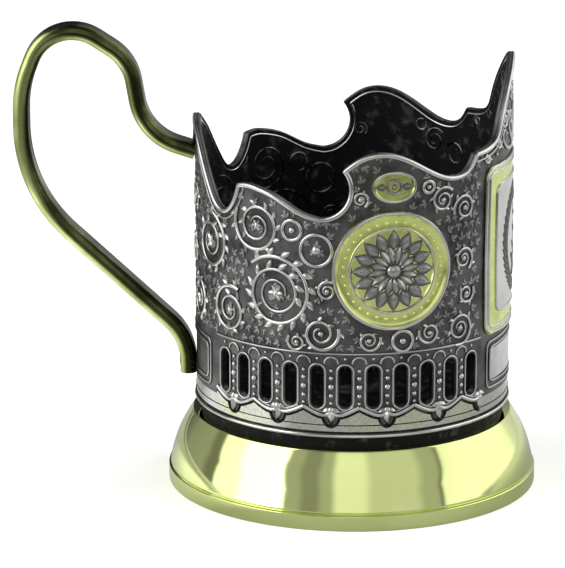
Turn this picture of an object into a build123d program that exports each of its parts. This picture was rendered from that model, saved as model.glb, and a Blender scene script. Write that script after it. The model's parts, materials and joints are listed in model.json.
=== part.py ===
from build123d import *
import os
from math import cos, degrees, radians, sin, sqrt

# Podstakannik, a metal holder for a glass of tea.
# Sizes are in millimetres.
# The origin is the middle of the foot's underside, +Z is up and the handle points to -X.
# Angles round the band are counted from +X, and each half of the band mirrors the other.

# Band
WELL_RADIUS = 34.0
WALL = 1.2
FLANGE_WIDTH = 5.0
SHOULDER_WIDTH = 0.6
BELT_LINE_HEIGHT = 1.3
BELT_LINE_PITCH = 1.2
BELT_LINE_COUNT = 2
BELT_LINE_WIDTH = 0.8
BELT_LINE_PROUD = 0.4

# Rim of one half of the band: angles, and heights above the band's lower edge.
# Each pair of lists is one smooth stretch that starts where the one before it ends.
PLAQUE_CREST_ANGLES = [0, 8, 15, 20, 24, 27, 32, 40.8]
PLAQUE_CREST_HEIGHTS = [78.9, 77.0, 74.0, 70.7, 66.5, 63.3, 61.8, 61.1]
FRONT_WAVE_ANGLES = [44, 48, 53, 62, 78, 85]
FRONT_WAVE_HEIGHTS = [58.5, 57.2, 57.1, 59.3, 63.5, 63.1]
SIDE_WAVE_ANGLES = [108, 118, 126, 131, 135]
SIDE_WAVE_HEIGHTS = [50.2, 53.3, 54.7, 55.0, 54.6]
HANDLE_CREST_ANGLES = [137, 143, 147, 151, 157, 165, 180]
HANDLE_CREST_HEIGHTS = [51.3, 47.9, 48.5, 50.8, 55.2, 60.2, 64.7]
# The front wave ends in a hooked tip over a round bite, and the side wave starts at the bite's bottom.
BITE_ANGLE = 101.6
BITE_HEIGHT = 55.7
BITE_RADIUS = 6.5
TIP_RISE = 4.1

# Windows, a row of slots on each side, with their middle's height above the band's lower edge
WINDOW_WIDTH = 2.75
WINDOW_LENGTH = 9.4
WINDOW_HEIGHT = 11.6
WINDOW_PITCH = 10.0
WINDOW_COUNT = 11
WINDOW_ROW_ANGLE = 92.35
WINDOW_FRAME_WIDTH = 0.8
WINDOW_FRAME_PROUD = 0.4

# Floor that the glass stands on, with a pressed dish for the screw
FLOOR_SHEET = 1.0
FLOOR_CLEARANCE = 0.1
DISH_RADIUS = 6.0

# Neck ring and foot
NECK_HEIGHT = 2.8
NECK_SETBACK = 1.0
FOOT_HEIGHT = 16.5
FOOT_RADIUS = 41.6
FOOT_TOP_RADIUS = 35.9
BELL_RADIUS = 39.2
BELL_HEIGHT = 10.8
FOOT_SHEET = 1.2
LIP_HEIGHT = 3.4
LIP_PROUD = 0.25

# Clamp screw, washer and nut on the axis
SCREW_RADIUS = 2.0
SCREW_HEAD_RADIUS = 3.8
SCREW_HEAD_HEIGHT = 2.4
SCREW_SLOT_WIDTH = 1.0
SCREW_SLOT_DEPTH = 1.1
SCREW_END = 0.8
SCREW_HOLE_CLEARANCE = 0.15
THREAD_CLEARANCE = 0.05
WASHER_RADIUS = 5.0
WASHER_SHEET = 0.8
NUT_FLATS = 7.0
NUT_HEIGHT = 3.2

# Handle, a strip bent to a loop in the plane y = 0
# Its bends are (distance from the wall, rise above the top joint).
# Its other heights are above the band's lower edge.
STRIP_THICKNESS = 3.6
STRIP_WIDTH = 7.0
STRIP_EDGE_RADIUS = 0.9
HANDLE_TOP_JOINT_HEIGHT = 56.3
HANDLE_BENDS = [(11.6, 3.7), (14.5, 20.6), (31.85, 31.9), (38.8, 14.3), (38.8, -9.0)]
HANDLE_BEND_RADII = [13.0, 11.0, 9.7, 26.0, 33.0]
TAB_BEND_HEIGHT = 13.3
TAB_BEND_RADIUS = 13.0
TAB_END_HEIGHT = 5.2
TENON_RADIUS = 1.1
TENON_CLEARANCE = 0.1
RIVET_RADIUS = 1.25
RIVET_HEAD_RADIUS = 2.0
RIVET_HEIGHT = 8.3
RIVET_CLEARANCE = 0.05
FLUSH_GAP = 0.05

# Ornaments soldered to the outside of the band, with heights above the band's lower edge
SOLDER_GAP = 0.05
MEDAL_ANGLE = 75.5
MEDAL_HEIGHT = 37.7
MEDAL_RADIUS = 13.4
MEDAL_SHEET = 0.6
MEDAL_RIM_WIDTH = 1.3
MEDAL_RIM_PROUD = 0.4
SMALL_MEDAL_GAP = 1.7
SMALL_MEDAL_WIDTH = 10.0
SMALL_MEDAL_LENGTH = 7.0
SMALL_MEDAL_RIM_WIDTH = 0.9
PLAQUE_WIDTH = 40.4
PLAQUE_LENGTH = 38.2
PLAQUE_BOTTOM = 18.9
PLAQUE_CORNER_RADIUS = 3.0
PLAQUE_FRAME_WIDTH = 1.6
PLAQUE_SHEET = 0.35
PLAQUE_FRAME_PROUD = 0.2

# Levels and radii that follow from the sizes above
BAND_RADIUS = WELL_RADIUS + WALL
BAND_BOTTOM = FOOT_HEIGHT + NECK_HEIGHT
FLANGE_TOP = BAND_BOTTOM + WALL
FLANGE_RADIUS = WELL_RADIUS - FLANGE_WIDTH
FLOOR_TOP = FLANGE_TOP + FLOOR_SHEET
SHOULDER_RADIUS = WELL_RADIUS - SHOULDER_WIDTH
DISH_FLOOR = FOOT_HEIGHT + FLOOR_SHEET
RIM_TOP = BAND_BOTTOM + max(PLAQUE_CREST_HEIGHTS)
TOP_JOINT = BAND_BOTTOM + HANDLE_TOP_JOINT_HEIGHT
REACH = 2 * BAND_RADIUS
SEAT_RADIUS = BAND_RADIUS + SOLDER_GAP


def turned(profile):
    """Turns a closed (radius, height) outline about the axis."""
    return revolve(Plane.XZ * make_face(Polyline(*profile, close=True)), Axis.Z)


def tube(inner, outer, bottom, top):
    """A ring standing between two heights."""
    return turned([(inner, bottom), (outer, bottom), (outer, top), (inner, top)])


def at_angle(radius, angle, height):
    """A point of the near half, where y is negative."""
    return (radius * cos(radians(angle)), -radius * sin(radians(angle)), height)


def facing(angle, height):
    """A plane on the axis that faces outwards at an angle, with its own Y upright."""
    outward = at_angle(1, angle, 0)
    return Plane(origin=(0, 0, height), x_dir=(-outward[1], outward[0], 0), z_dir=outward)


def radial(outline, angle, height):
    """Runs a flat outline outwards through the wall."""
    return extrude(facing(angle, height) * outline, amount=REACH)


def both_halves(shape):
    """A shape of the near half and its mirror image."""
    return [shape, mirror(shape, about=Plane.XZ)]


def above_rim(stretch):
    """All that lies over one stretch of the rim."""
    inner, outer = [
        Spline(*[at_angle(radius, angle, BAND_BOTTOM + height) for angle, height in stretch])
        for radius in (WELL_RADIUS - WALL, BAND_RADIUS + WALL)
    ]
    return extrude(Face.make_surface_from_curves(inner.edge(), outer.edge()), amount=REACH, dir=(0, 0, 1))


def raised(outline, angle, height):
    """A flat outline raised on the outside of the wall, on both halves."""
    skin = tube(WELL_RADIUS + WALL / 2, BAND_RADIUS + WINDOW_FRAME_PROUD, 0, RIM_TOP)
    return both_halves(radial(outline, angle, BAND_BOTTOM + height) & skin)


def rim_cutters():
    """What is cut away over the rim of the near half."""
    plaque_crest = list(zip(PLAQUE_CREST_ANGLES, PLAQUE_CREST_HEIGHTS))
    front_wave = list(zip(FRONT_WAVE_ANGLES, FRONT_WAVE_HEIGHTS))
    side_wave = list(zip(SIDE_WAVE_ANGLES, SIDE_WAVE_HEIGHTS))
    handle_crest = list(zip(HANDLE_CREST_ANGLES, HANDLE_CREST_HEIGHTS))
    tip_angle = BITE_ANGLE - degrees(sqrt(BITE_RADIUS**2 - TIP_RISE**2) / BAND_RADIUS)
    over_bite = [(angle, BITE_HEIGHT) for angle in (tip_angle, (tip_angle + BITE_ANGLE) / 2, BITE_ANGLE)]
    stretches = [
        plaque_crest,
        [plaque_crest[-1], *front_wave, (tip_angle, BITE_HEIGHT + TIP_RISE)],
        over_bite,
        [(BITE_ANGLE, BITE_HEIGHT - BITE_RADIUS), *side_wave],
        [side_wave[-1], *handle_crest],
    ]
    bite = radial(Circle(BITE_RADIUS), BITE_ANGLE, BAND_BOTTOM + BITE_HEIGHT)
    return [above_rim(stretch) for stretch in stretches] + [bite]


def make_band():
    band = turned([
        (FLANGE_RADIUS, BAND_BOTTOM),
        (BAND_RADIUS, BAND_BOTTOM),
        (BAND_RADIUS, RIM_TOP),
        (WELL_RADIUS, RIM_TOP),
        (WELL_RADIUS, FLOOR_TOP),
        (SHOULDER_RADIUS, FLOOR_TOP),
        (SHOULDER_RADIUS, FLANGE_TOP),
        (FLANGE_RADIUS, FLANGE_TOP),
    ])
    for line in range(BELT_LINE_COUNT):
        bottom = BAND_BOTTOM + BELT_LINE_HEIGHT + line * BELT_LINE_PITCH
        band += turned([
            (WELL_RADIUS + WALL / 2, bottom),
            (BAND_RADIUS, bottom),
            (BAND_RADIUS + BELT_LINE_PROUD, bottom + BELT_LINE_WIDTH / 2),
            (BAND_RADIUS, bottom + BELT_LINE_WIDTH),
            (WELL_RADIUS + WALL / 2, bottom + BELT_LINE_WIDTH),
        ])
    for cutter in rim_cutters():
        band -= both_halves(cutter)
    window = SlotOverall(WINDOW_LENGTH, WINDOW_WIDTH, rotation=90)
    frame = offset(window, WINDOW_FRAME_WIDTH)
    for place in range(WINDOW_COUNT):
        angle = WINDOW_ROW_ANGLE + (place - (WINDOW_COUNT - 1) / 2) * WINDOW_PITCH
        band += raised(frame, angle, WINDOW_HEIGHT)
        band -= both_halves(radial(window, angle, BAND_BOTTOM + WINDOW_HEIGHT))
    tenon_hole = radial(Circle(TENON_RADIUS + TENON_CLEARANCE), 180, TOP_JOINT)
    return band - tenon_hole - rivet_shape(RIVET_CLEARANCE)


def make_floor():
    depth = FLOOR_TOP - DISH_FLOOR
    return turned([
        (SCREW_RADIUS + SCREW_HOLE_CLEARANCE, FOOT_HEIGHT),
        (DISH_RADIUS + FLOOR_SHEET, FOOT_HEIGHT),
        (DISH_RADIUS + FLOOR_SHEET + depth, FLANGE_TOP),
        (SHOULDER_RADIUS - FLOOR_CLEARANCE, FLANGE_TOP),
        (SHOULDER_RADIUS - FLOOR_CLEARANCE, FLOOR_TOP),
        (DISH_RADIUS + depth, FLOOR_TOP),
        (DISH_RADIUS, DISH_FLOOR),
        (SCREW_RADIUS + SCREW_HOLE_CLEARANCE, DISH_FLOOR),
    ])


def make_neck():
    return tube(FLANGE_RADIUS, BAND_RADIUS - NECK_SETBACK, FOOT_HEIGHT, BAND_BOTTOM)


def bell_line(inset):
    """The bell's curve from its shoulder to its lip, moved inwards by a sheet's thickness."""
    return Spline(
        (FOOT_TOP_RADIUS - inset, FOOT_HEIGHT - inset),
        (BELL_RADIUS - inset, BELL_HEIGHT),
        (FOOT_RADIUS - LIP_PROUD - inset, LIP_HEIGHT),
        tangents=[(0.5, -1), (0, -1)],
    )


def make_foot():
    hole = SCREW_RADIUS + SCREW_HOLE_CLEARANCE
    outside = bell_line(0)
    inside = bell_line(FOOT_SHEET)
    lip = Polyline(
        outside @ 1,
        (FOOT_RADIUS, LIP_HEIGHT),
        (FOOT_RADIUS, 0),
        ((inside @ 1).X, 0),
        inside @ 1,
    )
    top = Polyline(inside @ 0, (hole, FOOT_HEIGHT - FOOT_SHEET), (hole, FOOT_HEIGHT), outside @ 0)
    return revolve(Plane.XZ * make_face([outside, lip, inside, top]), Axis.Z)


def make_screw():
    nut_bottom = FOOT_HEIGHT - FOOT_SHEET - WASHER_SHEET - NUT_HEIGHT
    screw = tube(0, SCREW_RADIUS, nut_bottom - SCREW_END, DISH_FLOOR)
    screw += tube(0, SCREW_HEAD_RADIUS, DISH_FLOOR, DISH_FLOOR + SCREW_HEAD_HEIGHT)
    slot_middle = DISH_FLOOR + SCREW_HEAD_HEIGHT - SCREW_SLOT_DEPTH / 2
    return screw - Pos(0, 0, slot_middle) * Box(2 * SCREW_HEAD_RADIUS, SCREW_SLOT_WIDTH, SCREW_SLOT_DEPTH)


def make_washer():
    top = FOOT_HEIGHT - FOOT_SHEET
    return tube(SCREW_RADIUS + SCREW_HOLE_CLEARANCE, WASHER_RADIUS, top - WASHER_SHEET, top)


def make_nut():
    outline = RegularPolygon(NUT_FLATS / 2, 6, major_radius=False) - Circle(SCREW_RADIUS + THREAD_CLEARANCE)
    bottom = FOOT_HEIGHT - FOOT_SHEET - WASHER_SHEET - NUT_HEIGHT
    return extrude(Pos(0, 0, bottom) * outline, amount=NUT_HEIGHT)


def make_handle():
    tab_distance = SEAT_RADIUS + STRIP_THICKNESS / 2
    middle = FilletPolyline(
        (-WELL_RADIUS, TOP_JOINT),
        *[(-BAND_RADIUS - distance, TOP_JOINT + rise) for distance, rise in HANDLE_BENDS],
        (-tab_distance, BAND_BOTTOM + TAB_BEND_HEIGHT),
        (-tab_distance, BAND_BOTTOM + TAB_END_HEIGHT),
        radius=[*HANDLE_BEND_RADII, TAB_BEND_RADIUS],
    )
    strip = extrude(Plane.XZ * trace(middle, STRIP_THICKNESS), amount=STRIP_WIDTH / 2, both=True)
    strip = fillet(strip.edges().filter_by(Plane.XZ), STRIP_EDGE_RADIUS)
    strip -= tube(0, SEAT_RADIUS, 0, TOP_JOINT + STRIP_WIDTH)
    tenon_length = WALL + STRIP_THICKNESS
    tenon = extrude(facing(180, TOP_JOINT) * Circle(TENON_RADIUS), amount=tenon_length)
    return strip + Pos(-WELL_RADIUS - FLUSH_GAP, 0, 0) * tenon - rivet_shape(RIVET_CLEARANCE)


def rivet_shape(clearance):
    """The rivet through the handle's tab, countersunk and flush on both sides, or its hole."""
    inner = WELL_RADIUS + FLUSH_GAP - clearance
    outer = SEAT_RADIUS + STRIP_THICKNESS + clearance
    radius = RIVET_RADIUS + clearance
    head = RIVET_HEAD_RADIUS - RIVET_RADIUS
    outline = Polyline(
        (0, inner),
        (radius + head, inner),
        (radius, inner + head),
        (radius, outer - head),
        (radius + head, outer),
        (0, outer),
        close=True,
    )
    rivet = revolve(make_face(outline), Axis.Y)
    return Pos(0, 0, BAND_BOTTOM + RIVET_HEIGHT) * Rot(0, 0, 90) * rivet


def plate(outline, opening, angle, height, sheet, proud):
    """A plate lying on the band, with a raised frame between its outline and an opening."""
    wall = tube(SEAT_RADIUS, SEAT_RADIUS + sheet, 0, RIM_TOP)
    frame = tube(SEAT_RADIUS, SEAT_RADIUS + sheet + proud, 0, RIM_TOP)
    level = BAND_BOTTOM + height
    return (radial(outline, angle, level) & wall) + (radial(outline - opening, angle, level) & frame)


def make_medallion():
    return plate(
        Circle(MEDAL_RADIUS),
        Circle(MEDAL_RADIUS - MEDAL_RIM_WIDTH),
        MEDAL_ANGLE,
        MEDAL_HEIGHT,
        MEDAL_SHEET,
        MEDAL_RIM_PROUD,
    )


def make_small_medallion():
    half_width = SMALL_MEDAL_WIDTH / 2
    half_length = SMALL_MEDAL_LENGTH / 2
    return plate(
        Ellipse(half_width, half_length),
        Ellipse(half_width - SMALL_MEDAL_RIM_WIDTH, half_length - SMALL_MEDAL_RIM_WIDTH),
        MEDAL_ANGLE,
        MEDAL_HEIGHT + MEDAL_RADIUS + SMALL_MEDAL_GAP + half_length,
        MEDAL_SHEET,
        MEDAL_RIM_PROUD,
    )


def make_plaque():
    inset = 2 * PLAQUE_FRAME_WIDTH
    inner_corner = PLAQUE_CORNER_RADIUS - PLAQUE_FRAME_WIDTH
    return plate(
        RectangleRounded(PLAQUE_WIDTH, PLAQUE_LENGTH, PLAQUE_CORNER_RADIUS),
        RectangleRounded(PLAQUE_WIDTH - inset, PLAQUE_LENGTH - inset, inner_corner),
        0,
        PLAQUE_BOTTOM + PLAQUE_LENGTH / 2,
        PLAQUE_SHEET,
        PLAQUE_FRAME_PROUD,
    )


medallion_front, medallion_back = both_halves(make_medallion())
small_medallion_front, small_medallion_back = both_halves(make_small_medallion())

pieces = {
    "pierced_band": make_band(),
    "floor_plate": make_floor(),
    "neck_ring": make_neck(),
    "foot": make_foot(),
    "clamp_screw": make_screw(),
    "clamp_washer": make_washer(),
    "clamp_nut": make_nut(),
    "handle": make_handle(),
    "handle_rivet": rivet_shape(0),
    "medallion_front": medallion_front,
    "medallion_back": medallion_back,
    "small_medallion_front": small_medallion_front,
    "small_medallion_back": small_medallion_back,
    "plaque": make_plaque(),
}

os.makedirs("parts", exist_ok=True)
for name, shape in pieces.items():
    export_step(shape, f"parts/{name}.step")
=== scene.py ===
import json
from math import acos, asin, atan2, ceil, cos, pi, radians, sin

import bpy
from bpy.props import FloatProperty, FloatVectorProperty, IntProperty, PointerProperty
from mathutils import Matrix, Vector
from mathutils.kdtree import KDTree


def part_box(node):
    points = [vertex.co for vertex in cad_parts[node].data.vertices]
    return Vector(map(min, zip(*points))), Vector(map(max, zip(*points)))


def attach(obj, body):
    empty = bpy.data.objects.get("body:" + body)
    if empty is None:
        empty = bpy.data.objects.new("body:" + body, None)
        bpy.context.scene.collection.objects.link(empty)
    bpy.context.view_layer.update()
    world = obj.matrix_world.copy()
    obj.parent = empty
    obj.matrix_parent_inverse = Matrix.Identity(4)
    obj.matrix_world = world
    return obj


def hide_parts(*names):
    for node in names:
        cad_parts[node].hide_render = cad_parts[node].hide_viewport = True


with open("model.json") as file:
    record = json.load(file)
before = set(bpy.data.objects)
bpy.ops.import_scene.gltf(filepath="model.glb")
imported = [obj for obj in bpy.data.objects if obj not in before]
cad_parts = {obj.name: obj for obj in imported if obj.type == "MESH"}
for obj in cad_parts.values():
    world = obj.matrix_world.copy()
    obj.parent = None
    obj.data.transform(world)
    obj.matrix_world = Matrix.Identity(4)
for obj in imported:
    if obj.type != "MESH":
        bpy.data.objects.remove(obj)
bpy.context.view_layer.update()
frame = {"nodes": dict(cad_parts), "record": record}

bl_info = {
    "name": "Podstakannik",
    "version": (1, 0, 0),
    "blender": (4, 5, 0),
    "location": "3D View > Sidebar > Podstakannik",
    "description": "Models a chased metal tea glass holder round its fixed frame",
    "category": "Add Mesh",
}

# The band is modelled as a flat sheet and then wrapped round the axis.
# On the sheet X runs to the right as seen from the front, Z is up and the outside is towards -Y.
# Places on it are (angle, height): degrees counted from the plaque towards the front, and millimetres.
MM = 0.001
FRONT_ANGLE = 90.0

BAND_LOW, BAND_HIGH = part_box("pierced_band")
FLOOR_LOW, FLOOR_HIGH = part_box("floor_plate")
NECK_LOW, NECK_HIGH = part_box("neck_ring")
FOOT_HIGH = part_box("foot")[1]
PLAQUE_LOW, PLAQUE_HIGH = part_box("plaque")
RIVET_LOW, RIVET_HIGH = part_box("handle_rivet")
MEDAL_LOW, MEDAL_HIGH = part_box("medallion_front")
SMALL_MEDAL_LOW, SMALL_MEDAL_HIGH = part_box("small_medallion_front")
WELL_MOUNT = next(mount for mount in frame["record"]["mounts"] if mount["name"] == "glass_well")
# In millimetres
WELL_RADIUS = WELL_MOUNT["dims"]["r_mm"]
WALL = 1.2
BAND_BOTTOM = BAND_LOW.z / MM

# Rim of one half, in stretches of (angle, height above the band's lower edge)
PLAQUE_CREST = [
    (0, 78.9), (8, 77.0), (15, 74.0), (20, 70.7), (24, 66.5), (27, 63.3), (32, 61.8), (40.8, 61.1),
]
FRONT_WAVE = [
    (40.8, 61.1), (44, 58.5), (48, 57.2), (53, 57.1), (62, 59.3), (78, 63.5), (85, 63.1), (93.4, 59.8),
]
SIDE_WAVE = [(101.6, 49.2), (108, 50.2), (118, 53.3), (126, 54.7), (131, 55.0), (135, 54.6)]
HANDLE_CREST = [
    (135, 54.6), (137, 51.3), (143, 47.9), (147, 48.5), (151, 50.8), (157, 55.2), (165, 60.2), (180, 64.7),
]
BITE_ANGLE = 101.6
BITE_HEIGHT = 55.7
BITE_RADIUS = 6.5
BITE_TIP_RISE = 4.1

# Volutes of the scrollwork as (angle, height, radius, start, turns)
# They start at degrees counted from the picture's right, and their turns are positive to the left.
VOLUTES = [
    (126.2, 65.5, 6.4, 150, 2.0), (118.0, 51.0, 8.7, 135, -2.4), (152.0, 59.0, 6.9, 100, -2.0),
    (139.5, 45.0, 5.8, 60, 1.9), (101.2, 42.8, 4.2, 20, -1.8), (48.3, 42.0, 3.9, 250, 1.8),
    (163.5, 44.2, 4.9, 120, -1.8), (169.0, 67.0, 3.6, 230, -1.7), (87.3, 72.9, 1.9, 300, 1.5),
    (56.4, 71.6, 3.0, 40, 1.7), (46.6, 69.0, 3.2, 200, -1.7), (46.8, 57.6, 2.9, 300, 1.6),
    (45.4, 49.6, 2.5, 30, -1.5), (61.6, 42.2, 2.7, 160, 1.6), (84.0, 41.4, 2.6, 20, -1.6),
    (110.0, 40.6, 2.2, 140, 1.5), (98.9, 52.4, 2.3, 60, 1.6), (171.6, 54.8, 3.3, 300, 1.7),
    (19.5, 86.0, 2.3, 200, 1.6), (25.2, 81.0, 1.4, 20, -1.4), (9.0, 91.0, 2.2, 250, -1.6),
    (33.4, 78.4, 1.2, 120, 1.4),
]
VOLUTE_TIGHTNESS = 0.74
# Volutes up to this radius have a thinner wire and fewer petals
SMALL_VOLUTE = 4

# Rings with a boss as (angle, height, radius)
RINGS = [(102.9, 61.4, 3.5), (111.9, 65.5, 2.2), (71.9, 41.0, 2.3), (62.4, 74.9, 1.3)]

# The oval medallion's half width, and its height as a share of its width
OVAL_HALF_WIDTH = 5.0
OVAL_FLATNESS = 0.7


def length(name, description, millimetres):
    """A size that a user can change, given in millimetres and kept in metres."""
    size = millimetres * MM
    return FloatProperty(name=name, description=description, default=size, unit="LENGTH", precision=5)


def rotation(name, description, degrees):
    """An angle that a user can change, given in degrees and kept in radians."""
    return FloatProperty(name=name, description=description, default=radians(degrees), unit="ROTATION")


def colour(name, description, value):
    """A finish's colour."""
    return FloatVectorProperty(
        name=name, description=description, default=value, subtype="COLOR", min=0, max=1)


class BandSizes(bpy.types.PropertyGroup):
    radius: length("Outside radius", "Radius of the band's outside", WELL_RADIUS + WALL)
    wall: length("Wall", "Thickness of the band's sheet", WALL)
    flange: length("Flange width", "How far the bottom turns inwards", 5.0)
    window_width: length("Window width", "Width of a window", 2.75)
    window_length: length("Window length", "Length of a window with its round ends", 9.4)
    window_height: length("Window height", "Height of the windows' middle above the ground", 30.9)
    window_pitch: rotation("Window pitch", "Angle from one window to the next", 10)
    window_count: IntProperty(name="Windows", description="Windows in each row", default=11, min=1)
    row_angle: rotation("Row angle", "Angle of the row's middle", 92.35)
    slice_width: length("Slice width", "Width of the strips that the wall is bent from", 1.1)


class ReliefSizes(bpy.types.PropertyGroup):
    rim_bead: length("Rim bead", "Radius of the bead along the rim", 0.58)
    rim_inset: length("Rim bead inset", "How far the bead lies inside the rim's edge", 0.36)
    inner_bead: length("Inner bead", "Radius of the bead along the rim on the inside", 0.34)
    inner_inset: length("Inner bead inset", "How far the inner bead lies below the rim's edge", 1.1)
    ring_wire: length("Ring wire", "Radius of the wire of the scrolls' rings", 0.42)
    stem_wire: length("Stem wire", "Radius of the wire of the large volutes at their start", 0.5)
    curl_wire: length("Curl wire", "Radius of the wire of the small volutes at their start", 0.38)
    fringe_pitch: length("Fringe pitch", "Distance between the leaves along a volute", 2.3)
    sprig_pitch: length("Sprig pitch", "Distance between the sprigs that fill the ground", 2.1)
    sprig_room: length("Sprig room", "Room that a sprig needs on all sides", 0.95)
    thin_wire: length("Thin wire", "Radius of the thin lines", 0.24)
    inner_wire: length("Inner wire", "Radius of the lines that the scrolls leave on the inside", 0.34)
    inner_proud: length("Inner proud", "How far those lines stand into the well", 0.14)
    pearl: length("Pearl", "Radius of a pearl", 0.5)
    leaf_width: length("Leaf width", "Width of a leaf of one millimetre's length", 0.46)
    leaf_height: length("Leaf height", "How far a leaf's rib stands proud", 0.45)
    swag_height: length("Swag height", "Height of the swags' lowest line", 24.5)


class FootSizes(bpy.types.PropertyGroup):
    shoulder_radius: length("Shoulder radius", "Radius of the foot's upper edge", 35.9)
    bell_radius: length("Bell radius", "Radius of the bell half way down", 39.2)
    bell_height: length("Bell height", "Height of that place", 10.8)
    lip_height: length("Lip height", "Height of the lip", 3.4)
    lip_proud: length("Lip proud", "How far the lip stands out", 0.25)
    groove: length("Groove", "Depth of the fine groove over the lip, from the lip's edge", 0.75)
    sheet: length("Sheet", "Thickness of the foot's sheet", 1.2)
    hole: length("Screw hole", "Radius of the hole for the screw", 2.15)


class HandleSizes(bpy.types.PropertyGroup):
    thickness: length("Thickness", "Thickness of the handle's strip", 3.6)
    width: length("Width", "Width of the handle's strip", 7.0)
    edge: length("Edge radius", "Rounding of the strip's edges", 1.7)
    joint_height: length("Top joint", "Height of the joint at the crest", 75.6)
    tab_bend_height: length("Tab bend", "Height where the lower tab bends away", 32.6)
    tab_end_height: length("Tab end", "Height of the tab's lower end", 24.5)


class Finishes(bpy.types.PropertyGroup):
    nickel_bright: colour("Bright nickel", "Nickel on the raised lines", (0.72, 0.72, 0.70))
    # The blackened nickel also darkens the lower sides of the raised lines, as painted crease shade.
    nickel_dark: colour("Blackened nickel", "Nickel in the hollows", (0.11, 0.11, 0.108))
    # The inside's black also colours the painted shadow wires under the swags.
    inside: colour("Inside", "Blackened inside of the band", (0.004, 0.004, 0.004))
    inside_worn: colour("Worn inside", "Spots where the blackening has worn", (0.06, 0.06, 0.06))
    # Lighter grey of the inside's raised lines, a painted highlight.
    inside_highlight: colour("Rubbed inside", "Raised lines where the blackening is thin", (0.34, 0.34, 0.33))
    brass: colour("Brass", "Polished pale brass", (0.80, 0.88, 0.38))
    brass_dull: colour("Dull brass", "Brass where it is handled least", (0.64, 0.71, 0.27))
    gilt: colour("Gilt", "Gilded fields", (0.86, 0.94, 0.34))
    gilt_dark: colour("Dark gilt", "Gilding in the hollows", (0.10, 0.11, 0.03))
    nickel_grey: colour("Grey nickel", "Nickel of the medallions' reliefs", (0.46, 0.46, 0.44))
    # The handle's bright brass shows where no painted shade falls. Its dark brass colours the stains, and a
    # tenth of it is the painted shade on the handle's inner and upper side.
    handle_bright: colour("Handle brass", "Brass on the handle's edges", (0.80, 0.88, 0.38))
    handle_dark: colour("Aged brass", "Brass that has darkened on the handle", (0.36, 0.41, 0.14))
    steel: colour("Steel", "Zinc-plated steel", (0.55, 0.56, 0.57))


class StageSettings(bpy.types.PropertyGroup):
    target: FloatVectorProperty(
        name="Target", description="Point that the camera looks at", subtype="TRANSLATION",
        default=(-15.77 * MM, 0, 44.62 * MM))
    distance: length("Distance", "Camera's distance from its target", 848)
    azimuth: rotation("Azimuth", "Camera's turn to the right", 1.13)
    elevation: rotation("Elevation", "Camera's height as an angle", 15.13)
    lens: FloatProperty(name="Lens", description="Focal length in millimetres", default=238.3)
    floor_size: length("Floor", "Side of the floor", 6000)


# Modelling on the flat sheet and round the axis


def deselect():
    bpy.ops.object.select_all(action="DESELECT")


def activate(*pieces):
    deselect()
    for piece in pieces:
        piece.select_set(True)
    bpy.context.view_layer.objects.active = pieces[0]
    return pieces[0]


def link_object(name, data):
    """A new object at the origin, selected alone."""
    piece = bpy.data.objects.new(name, data)
    bpy.context.collection.objects.link(piece)
    return activate(piece)


def spot(angle, height):
    """The place of an angle in degrees and a height in millimetres on the sheet."""
    return Vector((bpy.context.scene.band_sizes.radius * radians(FRONT_ANGLE - angle), 0, height * MM))


def smooth(points, step=0.6 * MM):
    """A natural cubic line through points, as evenly spaced points."""
    lengths = [(end - start).length for start, end in zip(points, points[1:])]
    slopes = [(end - start) / size for start, end, size in zip(points, points[1:], lengths)]
    shares, bends = [0.0], [Vector((0, 0, 0))]
    for before, after, slope, next_slope in zip(lengths, lengths[1:], slopes, slopes[1:]):
        pivot = 2 * (before + after) - before * shares[-1]
        bends.append((6 * (next_slope - slope) - before * bends[-1]) / pivot)
        shares.append(after / pivot)
    bends.append(Vector((0, 0, 0)))
    for number in range(len(points) - 2, 0, -1):
        bends[number] -= shares[number] * bends[number + 1]
    line = []
    for start, size, slope, bend, next_bend in zip(points, lengths, slopes, bends, bends[1:]):
        count = max(2, ceil(size / step))
        for place in range(count):
            walked = size * place / count
            along = slope - (2 * bend + next_bend) * size / 6
            straight = start + along * walked
            line.append(straight + bend * walked**2 / 2 + (next_bend - bend) * walked**3 / (6 * size))
    return line + [points[-1]]


def circle(centre, radius, start=0.0, turn=2 * pi, step=0.5 * MM, flatten=1.0):
    """Points of a circle or an arc on the sheet."""
    count = max(12, ceil(abs(turn) * radius / step))
    last = count if abs(turn) < 2 * pi else count - 1
    angles = [start + turn * place / count for place in range(last + 1)]
    return [centre + Vector((radius * cos(a), 0, radius * flatten * sin(a))) for a in angles]


def rounded_box(centre, width, height, corner):
    """Points of a rectangle with round corners on the sheet."""
    points = []
    for quarter, (across, up) in enumerate([(1, 1), (-1, 1), (-1, -1), (1, -1)]):
        middle = centre + Vector((across * (width / 2 - corner), 0, up * (height / 2 - corner)))
        points += circle(middle, corner, quarter * pi / 2, pi / 2, step=corner / 4)
    return points


def poly_line(curve, places):
    """Adds a line of straight pieces to a curve."""
    spline = curve.splines.new("POLY")
    spline.points.add(len(places) - 1)
    for point, place in zip(spline.points, places):
        point.co = (*place, 1)
    return spline


def sheet(name, outline, holes=()):
    """A flat plate with holes, from a filled curve that is laid upright."""
    curve = bpy.data.curves.new(name, "CURVE")
    curve.dimensions = "2D"
    curve.fill_mode = "BOTH"
    for line in [outline, *holes]:
        spline = poly_line(curve, [(place.x, place.z, 0) for place in line])
        spline.use_cyclic_u = True
    link_object(name, curve)
    bpy.ops.object.convert(target="MESH")
    piece = bpy.context.object
    piece.rotation_euler.x = pi / 2
    bpy.ops.object.transform_apply(rotation=True)
    return piece


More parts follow.
